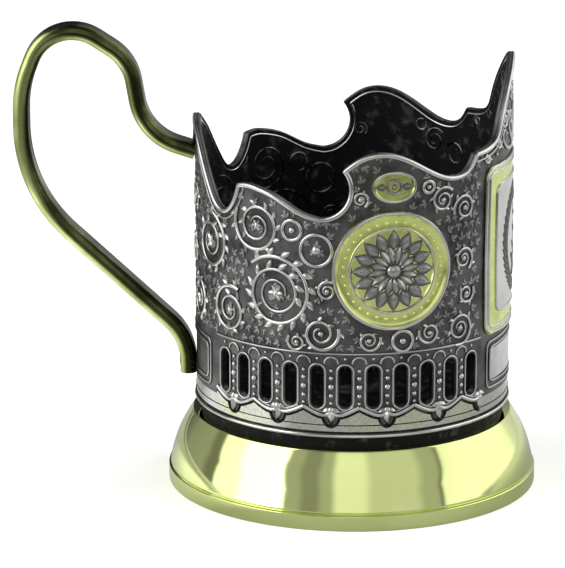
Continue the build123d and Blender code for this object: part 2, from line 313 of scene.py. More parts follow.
def slice_sheet(piece, width):
    """Cuts a flat plate into upright strips, so that it can be bent."""
    activate(piece)
    places = [vertex.co.x for vertex in piece.data.vertices]
    bpy.ops.object.mode_set(mode="EDIT")
    for cut in range(ceil(min(places) / width), ceil(max(places) / width)):
        bpy.ops.mesh.select_all(action="SELECT")
        bpy.ops.mesh.bisect(plane_co=(cut * width, 0, 0), plane_no=(1, 0, 0))
    bpy.ops.object.mode_set(mode="OBJECT")


def wrap(piece):
    """Bends a piece of the flat sheet round the axis."""
    radius = bpy.context.scene.band_sizes.radius
    for vertex in piece.data.vertices:
        angle = vertex.co.x / radius
        reach = radius - vertex.co.y
        vertex.co = (reach * sin(angle), -reach * cos(angle), vertex.co.z)


def modify(piece, kind, **settings):
    """Adds a modifier and applies it."""
    activate(piece)
    modifier = piece.modifiers.new(kind.title(), kind)
    for setting, value in settings.items():
        setattr(modifier, setting, value)
    bpy.ops.object.modifier_apply(modifier=modifier.name)


def mirror_back(piece):
    """Repeats the front half on the back."""
    modify(piece, "MIRROR", use_axis=(False, True, False), use_mirror_merge=True, merge_threshold=1e-6)


def wires(name, lines, thickness, closed=False, taper=0.0, depth=0.1 * MM):
    """Round wires along lines of the sheet, thinner towards their ends if they taper."""
    curve = bpy.data.curves.new(name, "CURVE")
    curve.dimensions = "3D"
    curve.bevel_depth = thickness
    curve.bevel_resolution = 2
    curve.use_fill_caps = not closed
    for line in lines:
        spline = poly_line(curve, [(place.x, place.y - depth, place.z) for place in line])
        spline.use_cyclic_u = closed
        for number, point in enumerate(spline.points):
            point.radius = 1 - taper * number / len(line)
    link_object(name, curve)
    bpy.ops.object.convert(target="MESH")
    return bpy.context.object


def join(name, pieces):
    """Makes one piece of several."""
    activate(*pieces)
    bpy.ops.object.join()
    piece = bpy.context.object
    piece.name = name
    piece.data.name = name
    return piece


def copies(name, template, places):
    """Copies of a template at (place, direction, scale) on the sheet, joined to one piece."""
    pieces = []
    for place, direction, scale in places:
        copy = link_object(name, template.data.copy())
        turn = Matrix.Rotation(-direction, 4, "Y")
        copy.data.transform(Matrix.Translation(place) @ turn @ Matrix.Diagonal((*scale, 1)))
        pieces.append(copy)
    return join(name, pieces)


def pearl_template(radius):
    """A low dome."""
    deselect()
    bpy.ops.mesh.primitive_uv_sphere_add(segments=10, ring_count=6, radius=radius, rotation=(pi / 2, 0, 0))
    bpy.ops.object.transform_apply(rotation=True)
    pearl = bpy.context.object
    bpy.ops.object.mode_set(mode="EDIT")
    bpy.ops.mesh.select_all(action="SELECT")
    bpy.ops.mesh.bisect(plane_co=(0, 0.3 * radius, 0), plane_no=(0, 1, 0), clear_outer=True)
    bpy.ops.object.mode_set(mode="OBJECT")
    return pearl


def leaf_template(width, height):
    """A pointed leaf with a raised rib, one unit long."""
    deselect()
    bpy.ops.mesh.primitive_grid_add(x_subdivisions=7, y_subdivisions=4, size=1, rotation=(pi / 2, 0, 0))
    bpy.ops.object.transform_apply(rotation=True)
    leaf = bpy.context.object
    for vertex in leaf.data.vertices:
        along = vertex.co.x + 0.5
        across = 2 * vertex.co.z
        half = width / 2 * sin(pi * along**0.75) ** 0.8 if 0 < along < 1 else 0
        rise = height * sin(pi * min(1, 0.12 + 0.84 * along)) ** 0.5
        vertex.co = (along, -rise * (1 - 0.82 * abs(across)), half * across)
    modify(leaf, "WELD", merge_threshold=1e-4 * MM)
    return leaf


def spun(name, profile, steps=160, bevel=0.0):
    """Spins a closed (radius, height) profile about the axis, and bevels its sharp edges when a bevel is
    given.
    """
    deselect()
    bpy.ops.mesh.primitive_plane_add(size=MM)
    bpy.ops.object.mode_set(mode="EDIT")
    bpy.ops.mesh.select_all(action="SELECT")
    bpy.ops.mesh.merge(type="CENTER")
    bpy.ops.transform.translate(value=(profile[0][0], 0, profile[0][1]))
    for (radius, height), (next_radius, next_height) in zip(profile, profile[1:] + profile[:1]):
        move = {"value": (next_radius - radius, 0, next_height - height)}
        bpy.ops.mesh.extrude_region_move(TRANSFORM_OT_translate=move)
    bpy.ops.mesh.select_all(action="SELECT")
    bpy.ops.mesh.remove_doubles(threshold=0.001 * MM)
    bpy.ops.mesh.spin(steps=steps, angle=2 * pi, center=(0, 0, 0), axis=(0, 0, 1))
    bpy.ops.mesh.select_all(action="SELECT")
    bpy.ops.mesh.remove_doubles(threshold=0.001 * MM)
    bpy.ops.mesh.normals_make_consistent(inside=False)
    bpy.ops.object.mode_set(mode="OBJECT")
    piece = bpy.context.object
    piece.name = name
    piece.data.name = name
    if bevel:
        modify(piece, "BEVEL", width=bevel, segments=3, limit_method="ANGLE", angle_limit=radians(35))
    return piece


def square_ring(name, inner, outer, low, high, bevel=0.0):
    """Spins a ring with a square section."""
    return spun(name, [(inner, low), (outer, low), (outer, high), (inner, high)], bevel=bevel)


def disc(name, profile, centre, flatten=1.0, steps=96):
    """Spins a (radius, proud) profile about a place of the sheet, to a plate with a closed edge."""
    piece = spun(name, profile, steps)
    lay = Matrix.Translation(centre) @ Matrix.Diagonal((1, 1, flatten, 1)) @ Matrix.Rotation(pi / 2, 4, "X")
    piece.data.transform(lay)
    return piece


def soften(piece, angle=40.0):
    activate(piece)
    bpy.ops.object.shade_smooth_by_angle(angle=radians(angle))


def dress(piece, slot, *materials):
    """Gives a piece its finish and lets it ride on the holder's only body."""
    if materials:
        piece.data.materials.clear()
        for material in materials:
            piece.data.materials.append(material)
    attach(piece, "root")
    return piece


def on_band(piece, back=True, finish=None):
    """Wraps a finished relief of the sheet, repeats it on the back and smooths it."""
    wrap(piece)
    if back:
        mirror_back(piece)
    soften(piece, 60)
    return dress(piece, "blackened_nickel", finish or chased_nickel())


# Lines that more than one piece follows


def rim_line():
    """The rim of the front half, from the plaque's crest to the handle's crest."""
    stretches = [
        [spot(angle, BAND_BOTTOM + height) for angle, height in stretch]
        for stretch in (PLAQUE_CREST, FRONT_WAVE, SIDE_WAVE, HANDLE_CREST)
    ]
    tip = acos(BITE_TIP_RISE / BITE_RADIUS)
    bite = circle(spot(BITE_ANGLE, BAND_BOTTOM + BITE_HEIGHT), BITE_RADIUS * MM, pi / 2 - tip, tip - pi)
    lines = [smooth(stretch) for stretch in stretches]
    lines.insert(2, bite)
    rim = []
    for line in lines:
        rim += [point for point in line if not rim or (point - rim[-1]).length > 0.05 * MM]
    return rim


def inset_line(line, amount):
    """A line moved to its left as seen along it on the sheet."""
    moved = []
    for number, point in enumerate(line):
        before = line[max(number - 2, 0)]
        after = line[min(number + 2, len(line) - 1)]
        along = (after - before).normalized()
        moved.append(point + amount * Vector((-along.z, 0, along.x)))
    return moved


def volute(angle, height, radius, start, turns):
    """A spiral that winds inwards round a place of the sheet."""
    centre = spot(angle, height)
    count = ceil(48 * abs(turns))
    line = []
    for step in range(count + 1):
        share = step / count
        turn = radians(start) + 2 * pi * turns * share
        reach = radius * MM * (1 - VOLUTE_TIGHTNESS * share**0.85)
        line.append(centre + reach * Vector((cos(turn), 0, sin(turn))))
    return line


def fringe(line, centre, pitch):
    """Places of leaves that lean outwards along the outer turn of a volute, as (place, direction)."""
    places = []
    walked = pitch / 2
    for point, after in zip(line, line[1:len(line) * 3 // 5]):
        walked += (after - point).length
        if walked > pitch:
            walked = 0.0
            lean = (after - point).normalized() + 0.9 * (point - centre).normalized()
            places.append((point, atan2(lean.z, lean.x)))
    return places


def nearest_to(points):
    """A search tree for the point that lies nearest to a place."""
    tree = KDTree(len(points))
    for number, point in enumerate(points):
        tree.insert(point, number)
    tree.balance()
    return tree


def medallion_middle(low, high):
    """The middle of a medallion on the sheet, from its box."""
    middle = (low + high) / 2
    angle = FRONT_ANGLE - atan2(middle.x, -middle.y) * 180 / pi
    return spot(angle, middle.z / MM)


def window_angles():
    sizes = bpy.context.scene.band_sizes
    middle = (sizes.window_count - 1) / 2
    turns = [sizes.row_angle + (place - middle) * sizes.window_pitch for place in range(sizes.window_count)]
    return [turn * 180 / pi for turn in turns]


def pillar_angles():
    angles = window_angles()
    return [(one + other) / 2 for one, other in zip(angles, angles[1:])]


def window_line(angle, grow=0.0):
    """A window's outline, or a line round it."""
    sizes = bpy.context.scene.band_sizes
    width = sizes.window_width + 2 * grow
    centre = spot(angle, sizes.window_height / MM)
    return rounded_box(centre, width, sizes.window_length + 2 * grow, width / 2 - 0.001 * MM)


# Finishes


def plug(tree, value, socket):
    """Links an output to a socket, or sets the socket's value."""
    if isinstance(value, bpy.types.NodeSocket):
        tree.links.new(value, socket)
    else:
        socket.default_value = value


def add(tree, kind, settings=None, **inputs):
    """A node with its settings. Its inputs are given by name, or by place as n0, n1 and so on."""
    node = tree.nodes.new(kind)
    for setting, value in (settings or {}).items():
        setattr(node, setting, value)
    for label, value in inputs.items():
        placed = label[0] == "n" and label[1:].isdigit()
        plug(tree, value, node.inputs[int(label[1:]) if placed else label])
    return node


def number(tree, operation, first, second):
    return add(tree, "ShaderNodeMath", {"operation": operation}, n0=first, n1=second).outputs[0]


def span(tree, value, low, high, new_low, new_high):
    """A value moved from one range to another."""
    node = add(tree, "ShaderNodeMapRange", n0=value, n1=low, n2=high, n3=new_low, n4=new_high)
    return node.outputs[0]


def blend(tree, factor, dark, bright):
    """A colour between two, by a mask."""
    node = add(tree, "ShaderNodeMix", {"data_type": "RGBA"}, n0=factor, n6=dark, n7=bright)
    return node.outputs[2]


def shade(rgb, share=1.0):
    """An opaque colour, or a share of its brightness."""
    return (*(share * part for part in rgb), 1.0)


def grey(tone):
    return shade((tone, tone, tone))


def new_group(name, inputs, outputs):
    """An empty node group with number inputs, given as name and default, and its ends."""
    tree = bpy.data.node_groups.new(name, "ShaderNodeTree")
    for label, default in inputs:
        socket = tree.interface.new_socket(label, in_out="INPUT", socket_type="NodeSocketFloat")
        socket.default_value = default
    for label in outputs:
        tree.interface.new_socket(label, in_out="OUTPUT", socket_type="NodeSocketFloat")
    return tree, tree.nodes.new("NodeGroupInput"), tree.nodes.new("NodeGroupOutput")


def relief_group():
    """How far a place stands out from the axis: 0 at the ground's radius, 1 at the tops'."""
    name = "Relief height"
    if name in bpy.data.node_groups:
        return bpy.data.node_groups[name]
    tree, start, end = new_group(name, [("Ground", 35.2 * MM), ("Top", 35.7 * MM)], ["Mask"])
    place = add(tree, "ShaderNodeTexCoord")
    parts = add(tree, "ShaderNodeSeparateXYZ", n0=place.outputs["Object"])
    flat = add(tree, "ShaderNodeCombineXYZ", n0=parts.outputs[0], n1=parts.outputs[1])
    reach = add(tree, "ShaderNodeVectorMath", {"operation": "LENGTH"}, n0=flat.outputs[0])
    mask = add(tree, "ShaderNodeMapRange", {"interpolation_type": "SMOOTHSTEP"}, n0=reach.outputs["Value"],
               n1=start.outputs["Ground"], n2=start.outputs["Top"])
    plug(tree, mask.outputs[0], end.inputs["Mask"])
    return tree


def patina_group():
    """Cloudy stains and fine grain."""
    name = "Patina"
    if name in bpy.data.node_groups:
        return bpy.data.node_groups[name]
    tree, start, end = new_group(
        name, [("Stain scale", 160.0), ("Grain scale", 1800.0)], ["Stain", "Grain"])
    place = add(tree, "ShaderNodeTexCoord")
    for label, detail, roughness in (("Stain", 4.0, 0.6), ("Grain", 2.0, 0.5)):
        noise = add(tree, "ShaderNodeTexNoise", Vector=place.outputs["Object"],
                    Scale=start.outputs[label + " scale"], Detail=detail, Roughness=roughness)
        plug(tree, noise.outputs[0], end.inputs[label])
    return tree


def use_group(tree, group, values):
    """The outputs of a node group that is placed in a material with its own values."""
    node = tree.nodes.new("ShaderNodeGroup")
    node.node_tree = group
    for label, value in values.items():
        node.inputs[label].default_value = value
    return node.outputs


def raised(tree, ground, top):
    """A mask of what stands out, between two radii in millimetres."""
    return use_group(tree, relief_group(), {"Ground": ground * MM, "Top": top * MM})["Mask"]


def patina(tree, stain_scale, grain_scale):
    """The masks of the stains and of the grain."""
    outputs = use_group(tree, patina_group(), {"Stain scale": stain_scale, "Grain scale": grain_scale})
    return outputs["Stain"], outputs["Grain"]


def set_surface(tree, shader, tone, roughness, height=None, strength=0.0, depth=0.0):
    """Gives a metal its colour and its polish, and a fine unevenness with its depth in millimetres."""
    plug(tree, tone, shader.inputs["Base Color"])
    plug(tree, roughness, shader.inputs["Roughness"])
    if height is not None:
        bump = add(tree, "ShaderNodeBump", Height=height, Strength=strength, Distance=depth * MM)
        plug(tree, bump.outputs[0], shader.inputs["Normal"])


def metal(fill):
    """Makes a function that returns a metal's material, which is built at its first use."""
    def material():
        name = fill.__name__
        if name not in bpy.data.materials:
            made = bpy.data.materials.new(name)
            made.use_nodes = True
            shader = made.node_tree.nodes["Principled BSDF"]
            shader.inputs["Metallic"].default_value = 1.0
            fill(made.node_tree, shader, bpy.context.scene.finishes)
        return bpy.data.materials[name]
    return material


@metal
def chased_nickel(tree, shader, finishes):
    """Nickel plate, blackened in the hollows and bright on the raised lines, whose lower sides stay dark as
    painted crease shade.
    """
    stain, grain = patina(tree, 170.0, 2600.0)
    stained = span(tree, stain, 0.3, 0.75, 0.65, 1.1)
    # The raised mask starts just above the ground, so the lower sides of the lines keep the hollows' dark as
    # painted crease shade.
    mask = number(tree, "MULTIPLY", raised(tree, 35.3, 35.6), stained)
    patches = span(tree, stain, 0.3, 0.7, 0.0, 1.0)
    hollow = blend(tree, patches, shade(finishes.nickel_dark, 0.4), shade(finishes.nickel_dark, 1.7))
    tone = blend(tree, mask, hollow, shade(finishes.nickel_bright))
    set_surface(tree, shader, tone, span(tree, mask, 0.0, 1.0, 0.42, 0.2), grain, 0.25, 0.05)


@metal
def oxidised_nickel(tree, shader, finishes):
    """Oxidised nickel of the reliefs on the medallions and the plaque."""
    stain, grain = patina(tree, 420.0, 2600.0)
    worn = number(tree, "MULTIPLY", raised(tree, 35.8, 36.4), span(tree, stain, 0.3, 0.7, 0.5, 1.2))
    tone = blend(tree, worn, shade(finishes.nickel_grey, 0.25), shade(finishes.nickel_grey))
    set_surface(tree, shader, tone, span(tree, worn, 0.0, 1.0, 0.45, 0.25), grain, 0.2, 0.05)


@metal
def aged_brass_and_painted_shade(tree, shader, finishes):
    """Brass of the handle with random stains, and painted shade on its inner and upper side and towards the
    band.
    """
    stain, grain = patina(tree, 90.0, 1500.0)
    aged = span(tree, stain, 0.35, 0.7, 0.0, 1.0)
    tone = blend(tree, aged, shade(finishes.handle_bright), shade(finishes.handle_dark))
    # Painted shade: faces that turn towards the band and up, and the part nearest the band, darken to a tenth
    # of the dark brass.
    place = add(tree, "ShaderNodeTexCoord")
    across = add(tree, "ShaderNodeSeparateXYZ", n0=place.outputs["Object"]).outputs[0]
    normal = add(tree, "ShaderNodeSeparateXYZ", n0=place.outputs["Normal"]).outputs
    inwards = number(tree, "MULTIPLY", normal[0], 0.75)
    upwards = number(tree, "MULTIPLY", normal[2], 0.65)
    facing = number(tree, "ADD", inwards, upwards)
    facing = number(tree, "ADD", facing, span(tree, across, -74 * MM, -62 * MM, -0.24, 0.4))
    upper = span(tree, facing, -0.2, 0.3, 0.0, 1.0)
    painted_shade = number(tree, "MULTIPLY", upper, span(tree, stain, 0.3, 0.6, 0.8, 1.0))
    tone = blend(tree, painted_shade, tone, shade(finishes.handle_dark, 0.1))
    set_surface(tree, shader, tone, span(tree, aged, 0.0, 1.0, 0.14, 0.3), grain, 0.06, 0.03)


@metal
def burnished_nickel(tree, shader, finishes):
    """Polished nickel of the frames, the beads and the plain panels."""
    stain, grain = patina(tree, 120.0, 2200.0)
    stained = span(tree, stain, 0.4, 0.75, 0.0, 0.5)
    tone = blend(tree, stained, shade(finishes.nickel_bright), shade(finishes.nickel_bright, 0.5))
    set_surface(tree, shader, tone, span(tree, stain, 0.3, 0.8, 0.12, 0.28), grain, 0.06, 0.03)


@metal
def worn_nickel(tree, shader, finishes):
    """Burnished nickel of the plain belt, worn through to brass in places."""
    stain, grain = patina(tree, 75.0, 2200.0)
    worn = span(tree, stain, 0.46, 0.6, 0.0, 0.75)
    tone = blend(tree, worn, shade(finishes.nickel_bright), shade(finishes.brass))
    dull = span(tree, grain, 0.3, 0.65, 0.2, 0.85)
    tone = blend(tree, dull, tone, shade(finishes.nickel_grey))
    set_surface(tree, shader, tone, span(tree, stain, 0.3, 0.8, 0.1, 0.22), grain, 0.06, 0.03)


@metal
def blackened_and_painted_shadow(tree, shader, finishes):
    """Blackened plate of the inside, also used for the painted shadow wires under the swags."""
    stain, grain = patina(tree, 330.0, 900.0)
    worn = span(tree, stain, 0.55, 0.78, 0.0, 1.0)
    tone = blend(tree, worn, shade(finishes.inside), shade(finishes.inside_worn))
    set_surface(tree, shader, tone, span(tree, grain, 0.2, 0.8, 0.5, 0.75), stain, 0.6, 0.4)
    shader.inputs["Metallic"].default_value = 0.0
    shader.inputs["Specular IOR Level"].default_value = 0.15


@metal
def painted_highlight_inside(tree, shader, finishes):
    """Blackened plate whose raised lines on the inside are a lighter grey in random patches, as painted
    highlight.
    """
    stain, grain = patina(tree, 330.0, 900.0)
    highlighted = span(tree, stain, 0.42, 0.66, 0.0, 1.0)
    tone = blend(tree, highlighted, shade(finishes.inside), shade(finishes.inside_highlight))
    set_surface(tree, shader, tone, span(tree, grain, 0.2, 0.8, 0.3, 0.5))


@metal
def spun_brass(tree, shader, finishes):
    """Pale polished brass with faint stains."""
    stain, grain = patina(tree, 45.0, 1500.0)
    stained = span(tree, stain, 0.35, 0.75, 0.0, 0.6)
    tone = blend(tree, stained, shade(finishes.brass), shade(finishes.brass_dull))
    set_surface(tree, shader, tone, span(tree, stain, 0.3, 0.8, 0.05, 0.1), grain, 0.04, 0.03)


@metal
def gilding(tree, shader, finishes):
    """Gilding that is dark in the hollows of its relief."""
    stain, grain = patina(tree, 220.0, 1800.0)
    worn = number(tree, "MULTIPLY", raised(tree, 35.1, 35.7), span(tree, stain, 0.3, 0.7, 0.75, 1.1))
    tone = blend(tree, worn, shade(finishes.gilt_dark), shade(finishes.gilt))
    set_surface(tree, shader, tone, span(tree, stain, 0.3, 0.8, 0.2, 0.34), grain, 0.1, 0.04)


@metal
def zinc_plate(tree, shader, finishes):
    """Zinc-plated steel."""
    stain, grain = patina(tree, 300.0, 2200.0)
    tone = blend(tree, stain, shade(finishes.steel, 0.7), shade(finishes.steel))
    set_surface(tree, shader, tone, span(tree, grain, 0.2, 0.8, 0.25, 0.4), grain, 0.08, 0.03)


# Operators, one for each piece or group of like pieces
# Their own values are in millimetres and degrees.


class PODSTAKANNIK_OT_band(bpy.types.Operator):
    """Cut the band's sheet with its rim and windows, bend it and turn its flange"""
    bl_idname = "podstakannik.band"
    bl_label = "Band"

    FLANGE_SETBACK = 0.05

    def execute(self, context):
        sizes = context.scene.band_sizes
        outline = rim_line() + [spot(180, BAND_BOTTOM), spot(0, BAND_BOTTOM)]
        wall = sheet("band_wall", outline, [window_line(angle) for angle in window_angles()])
        slice_sheet(wall, sizes.slice_width)
        wrap(wall)
        mirror_back(wall)
        wall.data.materials.append(chased_nickel())
        wall.data.materials.append(blackened_and_painted_shadow())
        modify(wall, "SOLIDIFY", thickness=sizes.wall, offset=-1, material_offset=1)
        soften(wall)
        inner = sizes.radius - sizes.wall - sizes.flange
        outer = sizes.radius - self.FLANGE_SETBACK * MM
        flange = square_ring("band_flange", inner, outer, BAND_LOW.z, BAND_LOW.z + sizes.wall)
        dress(flange, "blackened_nickel", blackened_and_painted_shadow())
        dress(wall, "blackened_nickel")
        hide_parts("pierced_band")
        return {"FINISHED"}


class PODSTAKANNIK_OT_rim_bead(bpy.types.Operator):
    """Roll the rim, run a bead along each side of it and draw the lines round the belt"""
    bl_idname = "podstakannik.rim_bead"
    bl_label = "Rim bead and belt lines"

    BEAD_DEPTH = 0.05
    # Lines all round the belt as (name, height above the band's lower edge, radius, finish)
    BELT_LINES = [
        ("belt_bead", 0.48, 0.44, burnished_nickel),
        ("belt_groove", 1.2, 0.3, blackened_and_painted_shadow),
        ("belt_line", 2.9, 0.15, blackened_and_painted_shadow),
    ]

    def execute(self, context):
        relief = context.scene.relief_sizes
        wall = context.scene.band_sizes.wall
        edge = rim_line()
        rim = inset_line(edge, relief.rim_inset)
        on_band(wires("rim_bead", [rim], relief.rim_bead, depth=self.BEAD_DEPTH * MM))
        on_band(wires("rim_roll", [rim], wall / 2, depth=-wall / 2))
        border = nearest_to(edge)
        inner = [point for point in inset_line(edge, relief.inner_inset)
                 if border.find(point)[2] > 0.95 * relief.inner_inset]
        behind = relief.inner_bead - relief.inner_proud - wall
        on_band(wires("inner_bead", [inner], relief.inner_bead, depth=behind), finish=burnished_nickel())
        for name, height, thickness, finish in self.BELT_LINES:
            line = [spot(half_degrees / 2, BAND_BOTTOM + height) for half_degrees in range(0, 361)]
            on_band(wires(name, [line], thickness * MM, depth=0.0), finish=finish())
        return {"FINISHED"}


class PODSTAKANNIK_OT_windows(bpy.types.Operator):
    """Frame the windows, set pearls on the pillars and draw the lines above and beside them"""
    bl_idname = "podstakannik.windows"
    bl_label = "Windows and pillars"

    FRAME_GAP = 0.45
    FRAME_WIRE = 0.25
    # Pearls on a pillar and over a window as (height, size)
    PILLAR_PEARLS = [(27.2, 0.9), (28.9, 1.15), (30.9, 1.5), (32.9, 1.15), (34.6, 0.9)]
    WINDOW_PEARL = (37.3, 0.8)
    ARCH_HEIGHT = 36.2
    ARCH_RADIUS = 1.5
    LINE_HEIGHT = 38.4
    LINE_ENDS = (37, 148)

    def execute(self, context):
        relief = context.scene.relief_sizes
        frames = [window_line(angle, self.FRAME_GAP * MM) for angle in window_angles()]
        on_band(wires("window_frames", frames, self.FRAME_WIRE * MM, closed=True))
        places = [(angle, *pearl) for angle in pillar_angles() for pearl in self.PILLAR_PEARLS]
        places += [(angle, *self.WINDOW_PEARL) for angle in window_angles()]
        pearls = [(spot(angle, height), 0, (size, size, size)) for angle, height, size in places]
        pearl = pearl_template(relief.pearl)
        on_band(copies("pillar_pearls", pearl, pearls))
        bpy.data.objects.remove(pearl)
        middles = [spot(angle, self.ARCH_HEIGHT) for angle in pillar_angles()]
        arches = [circle(middle, self.ARCH_RADIUS * MM, 0, pi) for middle in middles]
        first, last = self.LINE_ENDS
        line = [spot(half_degrees / 2, self.LINE_HEIGHT) for half_degrees in range(2 * first, 2 * last)]
        on_band(wires("window_arches", [*arches, line], relief.thin_wire))
        return {"FINISHED"}


class PODSTAKANNIK_OT_lambrequin(bpy.types.Operator):
    """Hang the scalloped swags and their drops under the windows"""
    bl_idname = "podstakannik.lambrequin"
    bl_label = "Lambrequin"

    # Half a swag as (tenths of the way from its cusp to its drop, rise over the swags' lowest line)
    SWAG = [(0, 1.8), (2.0, 1.15), (4.4, 0.45), (6.8, 0.02), (8.6, 0.1), (10, 0.7)]
    SWAG_WIRE = 0.48
    INNER_SWAG_WIRE = 0.22
    INNER_SWAG_RISE = 0.75
    SHADOW_WIRE = 0.3
    # Leaves of a drop as (direction in half turns, length, height, width)
    DROP_LEAVES = [(-0.5, 3.7, 2.2, 3.7), (-0.9, 2.3, 1.3, 2.6), (-0.1, 2.3, 1.3, 2.6)]
    DROP_LEAF_RISE = 1.4
    DROP_PEARL_RISE = 1.2
    DROP_PEARL = (1.7, 1.7, 1.7)
    NOTCH_LOWER = 0.7
    NOTCH_WIDTH = 1.9
    NOTCH_DEPTH = 2.7
    NOTCH_STEPS = 8
    BELT_MARGIN = 0.1
    BELT_PROUD = 0.06
    BELT_SHEET = 0.1

    def execute(self, context):
        relief = context.scene.relief_sizes
        low = relief.swag_height / MM
        pillars = pillar_angles()
        pitch = pillars[1] - pillars[0]
        ends = [pillars[0] - pitch, *pillars, pillars[-1] + pitch]
        swags = []
        inner_swags = []
        drops = set()
        for number, (one, other) in enumerate(zip(ends, ends[1:])):
            cusp, drop = (one, other) if number % 2 else (other, one)
            step = (drop - cusp) / 10
            places = [(cusp + step * along, low + rise) for along, rise in self.SWAG]
            swags.append(smooth([spot(*place) for place in places]))
            inner_swags.append(smooth([
                spot(angle, height + self.INNER_SWAG_RISE) for angle, height in places[1:5]]))
            drops.add(round(drop, 3))
        self.belt(context, swags, ends)
        on_band(join("lambrequin", [
            wires("swags", swags, self.SWAG_WIRE * MM),
            wires("inner_swags", inner_swags, self.INNER_SWAG_WIRE * MM),
        ]))
        leaf = leaf_template(0.5, 0.5 * MM)
        pearl = pearl_template(relief.pearl)
        leaves = []
        pearls = []
        for angle in sorted(drops):
            root = spot(angle, low + self.DROP_LEAF_RISE)
            for turn, reach, height, width in self.DROP_LEAVES:
                leaves.append((root, turn * pi, (reach * MM, height, width * MM)))
            pearls.append((spot(angle, low + self.DROP_PEARL_RISE), 0, self.DROP_PEARL))
        on_band(join("drops", [copies("drop_leaves", leaf, leaves), copies("drop_pearls", pearl, pearls)]))
        bpy.data.objects.remove(leaf)
        bpy.data.objects.remove(pearl)
        return {"FINISHED"}

    def belt(self, context, swags, ends):
        """Lays the burnished belt, whose upper edge follows the swags."""
        low = context.scene.relief_sizes.swag_height / MM
        edge = []
        shadows = []
        for number, swag in enumerate(swags):
            notch = self.notch(swag)
            shadows.append(notch)
            edge += notch if number % 2 else reversed(notch)
        # The dark wires along the belt's lowered, notched edge are painted shadow under the swags and round
        # the drops.
        on_band(wires("swag_shadows", shadows, self.SHADOW_WIRE * MM), finish=blackened_and_painted_shadow())
        bottom = BAND_BOTTOM + self.BELT_MARGIN
        outline = [spot(0, bottom), spot(0, low), spot(ends[0] - 1, low), *edge]
        outline += [spot(ends[-1] + 1, low), spot(180, low), spot(180, bottom)]
        belt = sheet("belt", outline)
        slice_sheet(belt, context.scene.band_sizes.slice_width)
        belt.data.transform(Matrix.Translation((0, -self.BELT_PROUD * MM, 0)))
        wrap(belt)
        mirror_back(belt)
        modify(belt, "SOLIDIFY", thickness=self.BELT_SHEET * MM, offset=-1)
        soften(belt)
        dress(belt, "blackened_nickel", worn_nickel())

    def notch(self, swag):
        """A half swag's line, moved down and led round the drop at its end."""
        drop = swag[-1]
        side = 1 if swag[0].x > drop.x else -1
        below = Vector((0, 0, -self.NOTCH_LOWER * MM))
        line = [point + below for point in swag if abs(point.x - drop.x) > self.NOTCH_WIDTH * MM]
        for step in range(self.NOTCH_STEPS + 1):
            turn = step * pi / 2 / self.NOTCH_STEPS
            across = side * self.NOTCH_WIDTH * MM * cos(turn)
            down = self.NOTCH_DEPTH * MM * sin(turn)
            line.append(drop + below + Vector((across, 0, -down)))
        return line


class PODSTAKANNIK_OT_scrollwork(bpy.types.Operator):
    """Lay the volutes and rings of the scrollwork and the lines that they leave on the inside"""
    bl_idname = "podstakannik.scrollwork"
    bl_label = "Scrollwork"

    def execute(self, context):
        relief = context.scene.relief_sizes
        rings = [circle(spot(angle, height), radius * MM) for angle, height, radius in RINGS]
        large = [volute(*place) for place in VOLUTES if place[2] > SMALL_VOLUTE]
        small = [volute(*place) for place in VOLUTES if place[2] <= SMALL_VOLUTE]
        on_band(join("scrollwork", [
            wires("volutes", large, relief.stem_wire, taper=0.5),
            wires("curls", small, relief.curl_wire, taper=0.4),
            wires("rings", rings, relief.ring_wire, closed=True),
        ]))
        behind = relief.inner_wire - relief.inner_proud - context.scene.band_sizes.wall
        # The lines on the inside get a lighter grey in patches, as painted highlight.
        on_band(join("inner_scrolls", [
            wires("inner_volutes", large + small, relief.inner_wire, taper=0.3, depth=behind),
            wires("inner_rings", rings, relief.inner_wire, closed=True, depth=behind),
        ]), finish=painted_highlight_inside())
        return {"FINISHED"}


